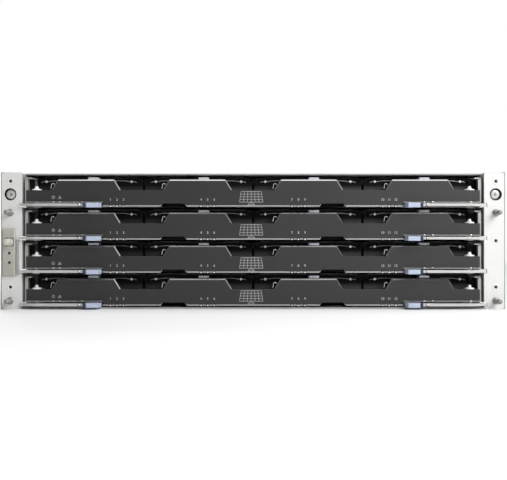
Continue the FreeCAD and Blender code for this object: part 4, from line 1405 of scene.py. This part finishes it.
# Round lamps on the controller and over the power inlet
moduleLampLook = {"shape": ((1.7, -0.05), (1.7, 0.25), (1.2, 0.35), (0.96, 0.7), (0.48, 0.9), (0, 0.95)),
                  "ioCount": 3, "ioX": 72.0, "ioPitch": 6.0, "ioRise": 13.0,
                  "powerCount": 2, "powerX": 4.0, "powerPitch": 7.0, "powerRise": 8.0}


def moduleLamps(unit):
    look = moduleLampLook
    ioLow = rackBox("io_module_%d" % unit)[0]
    inletLow, inletHigh = pocketOf("power_%d_inlet" % unit)
    bm = bmesh.new()
    for kind, left, foot in (("io", ioLow.x, ioLow.z), ("power", inletLow.x, inletHigh.z)):
        for step in range(look[kind + "Count"]):
            x = left + look[kind + "X"] + step * look[kind + "Pitch"]
            addTurned(bm, look["shape"], (x, rearY, foot + look[kind + "Rise"]), backward, steps=20)
    addChassisPiece("module_%d_lamps" % unit, bm, extras["lampGreen"], smoothAngle=50)


# Ribbed release latch of each power supply
latchLook = {"inset": 24.0, "rise": 8.0, "halfX": 6.0, "halfZ": 3.0, "proud": 3.2, "edge": 0.8,
             "ribHalfX": 4.0, "ribHalfZ": 0.35, "ribY": (3.0, 3.8), "ribPitch": 1.6, "ribEdge": 0.25}


def powerLatch(unit):
    look = latchLook
    low, high = rackBox("power_supply_%d" % unit)
    x, z = high.x - look["inset"], low.z + look["rise"]
    wide, tall = look["halfX"], look["halfZ"]
    front, back = rearY - pocketLook["sunk"], rearY + look["proud"]
    bm = bmesh.new()
    addBlock(bm, (x - wide, front, z - tall), (x + wide, back, z + tall), look["edge"])
    wide, tall = look["ribHalfX"], look["ribHalfZ"]
    front, back = (rearY + along for along in look["ribY"])
    for step in (-1, 0, 1):
        ribZ = z + step * look["ribPitch"]
        addBlock(bm, (x - wide, front, ribZ - tall), (x + wide, back, ribZ + tall), look["ribEdge"])
    addChassisPiece("power_%d_latch" % unit, bm, finishes["blue_grip"])


# Screws of the fan modules
fanScrewLook = {"inset": 5.5, "foot": 26.0,
                "shape": ((2.6, -0.05), (2.6, 0.6), (2.1, 1.3), (1.2, 1.6), (1.0, 1.1), (0, 1.1))}


def fanScrews():
    look = fanScrewLook
    bm = bmesh.new()
    for unit in units:
        low, high = rackBox("fan_module_%d" % unit)
        for x in (low.x + look["inset"], high.x - look["inset"]):
            for z in (low.z + look["foot"], high.z - look["inset"]):
                addTurned(bm, look["shape"], (x, rearY, z), backward, steps=24)
    addChassisPiece("fan_module_screws", bm, finishes["screw_steel"])


for unit in units:
    storagePorts(unit)
    networkPort(unit)
    powerInlet(unit)
    moduleLamps(unit)
    powerLatch(unit)
fanScrews()
print("back fitted")

# Stage: pale floor that turns white further out
floorLook = {"radius": 7.0, "segments": 96, "tone": 0.93, "roughness": 0.9, "specular": 0.1,
             "white": (0.7, 1.6)}


def makeFloor():
    material, tree, surface, look = newFinish("floorPaper", {}, floorLook)
    bm = bmesh.new()
    bmesh.ops.create_circle(bm, cap_ends=True, segments=look["segments"], radius=look["radius"])
    mesh = bpy.data.meshes.new("floor")
    bm.to_mesh(mesh)
    bm.free()
    floor = linkObject("floor", mesh)
    setInput(tree, surface["Base Color"], grey(look["tone"]))
    setInput(tree, surface["Roughness"], look["roughness"])
    white = addNode(tree, "ShaderNodeEmission", {"Strength": 1.0})
    distance = addNode(tree, "ShaderNodeVectorMath", {0: objectPlace(tree)}, operation="LENGTH")
    away = rangeNode(tree, distance.outputs["Value"], look["white"])
    rays = addNode(tree, "ShaderNodeLightPath").outputs
    seen = mathNode(tree, "MAXIMUM", rays["Is Camera Ray"],
                    mathNode(tree, "MAXIMUM", rays["Is Glossy Ray"], rays["Is Transmission Ray"]))
    shader = tree.nodes["Principled BSDF"]
    blend = addNode(tree, "ShaderNodeMixShader", {0: mathNode(tree, "MULTIPLY", away, seen),
                                                  1: shader.outputs[0], 2: white.outputs[0]})
    tree.links.new(blend.outputs[0], tree.nodes["Material Output"].inputs["Surface"])
    mesh.materials.append(material)


# Surroundings, white to the camera; their light grows from left to right
worldLook = {"ambient": 0.2, "dim": 0.36, "bright": 1.08, "spread": 0.32}


def makeSurroundings():
    look = worldLook
    world = bpy.data.worlds.new("studio")
    bpy.context.scene.world = world
    world.use_nodes = True
    tree = world.node_tree
    background = tree.nodes["Background"].inputs
    rays = addNode(tree, "ShaderNodeLightPath").outputs
    place = addNode(tree, "ShaderNodeTexCoord").outputs["Generated"]
    across = rangeNode(tree, splitVector(tree, place)["X"], (-look["spread"], look["spread"]),
                       (look["dim"], look["bright"]))
    mirrored = mathNode(tree, "MAXIMUM", rays["Is Glossy Ray"], rays["Is Transmission Ray"])
    level = mathNode(tree, "MULTIPLY", across, rangeNode(tree, mirrored, (0.0, 1.0), (look["ambient"], 1.0)))
    direct = rays["Is Camera Ray"]
    unseen = mathNode(tree, "MULTIPLY", level, mathNode(tree, "SUBTRACT", 1.0, direct))
    tree.links.new(mathNode(tree, "ADD", unseen, direct), background["Strength"])
    setInput(tree, background["Color"], grey(1.0))


# Soft lamps: from the upper right, from above and from behind
lampLooks = {
    "keyLight": {"place": (0.78, -1.25, 0.75), "aim": (0.12, -0.40, 0.06), "size": 0.9, "power": 16.4,
                 "mirrored": True},
    "topLight": {"place": (0.05, -0.25, 1.9), "aim": (0.0, 0.0, 0.1), "size": 1.8, "power": 18.0,
                 "mirrored": True},
    "backLight": {"place": (-0.9, 1.6, 1.0), "aim": (0.0, 0.40, 0.06), "size": 1.0, "power": 24.0,
                  "mirrored": False},
}


def makeLights():
    for name, look in lampLooks.items():
        light = bpy.data.lights.new(name, "AREA")
        light.energy = look["power"]
        light.shape = "DISK"
        light.size = look["size"]
        lamp = linkObject(name, light)
        lamp.location = look["place"]
        lamp.visible_glossy = look["mirrored"]
        direction = Vector(look["aim"]) - Vector(look["place"])
        lamp.rotation_euler = direction.to_track_quat("-Z", "Y").to_euler()


# Camera square on to the front
cameraLook = {"x": 0.0004, "distance": 0.75, "height": 0.0662, "lens": 55.6, "sensor": 36.0,
              "clipStart": 0.01}


def makeCamera():
    look = cameraLook
    camera = bpy.data.cameras.new("camera")
    camera.lens = look["lens"]
    camera.sensor_width = look["sensor"]
    camera.clip_start = look["clipStart"]
    holder = linkObject("camera", camera)
    holder.location = (look["x"], frontY - look["distance"], look["height"])
    holder.rotation_euler = (math.pi / 2, 0, 0)
    bpy.context.scene.camera = holder


makeFloor()
makeSurroundings()
makeLights()
makeCamera()
bpy.context.scene.view_settings.view_transform = "Standard"
print("stage set")
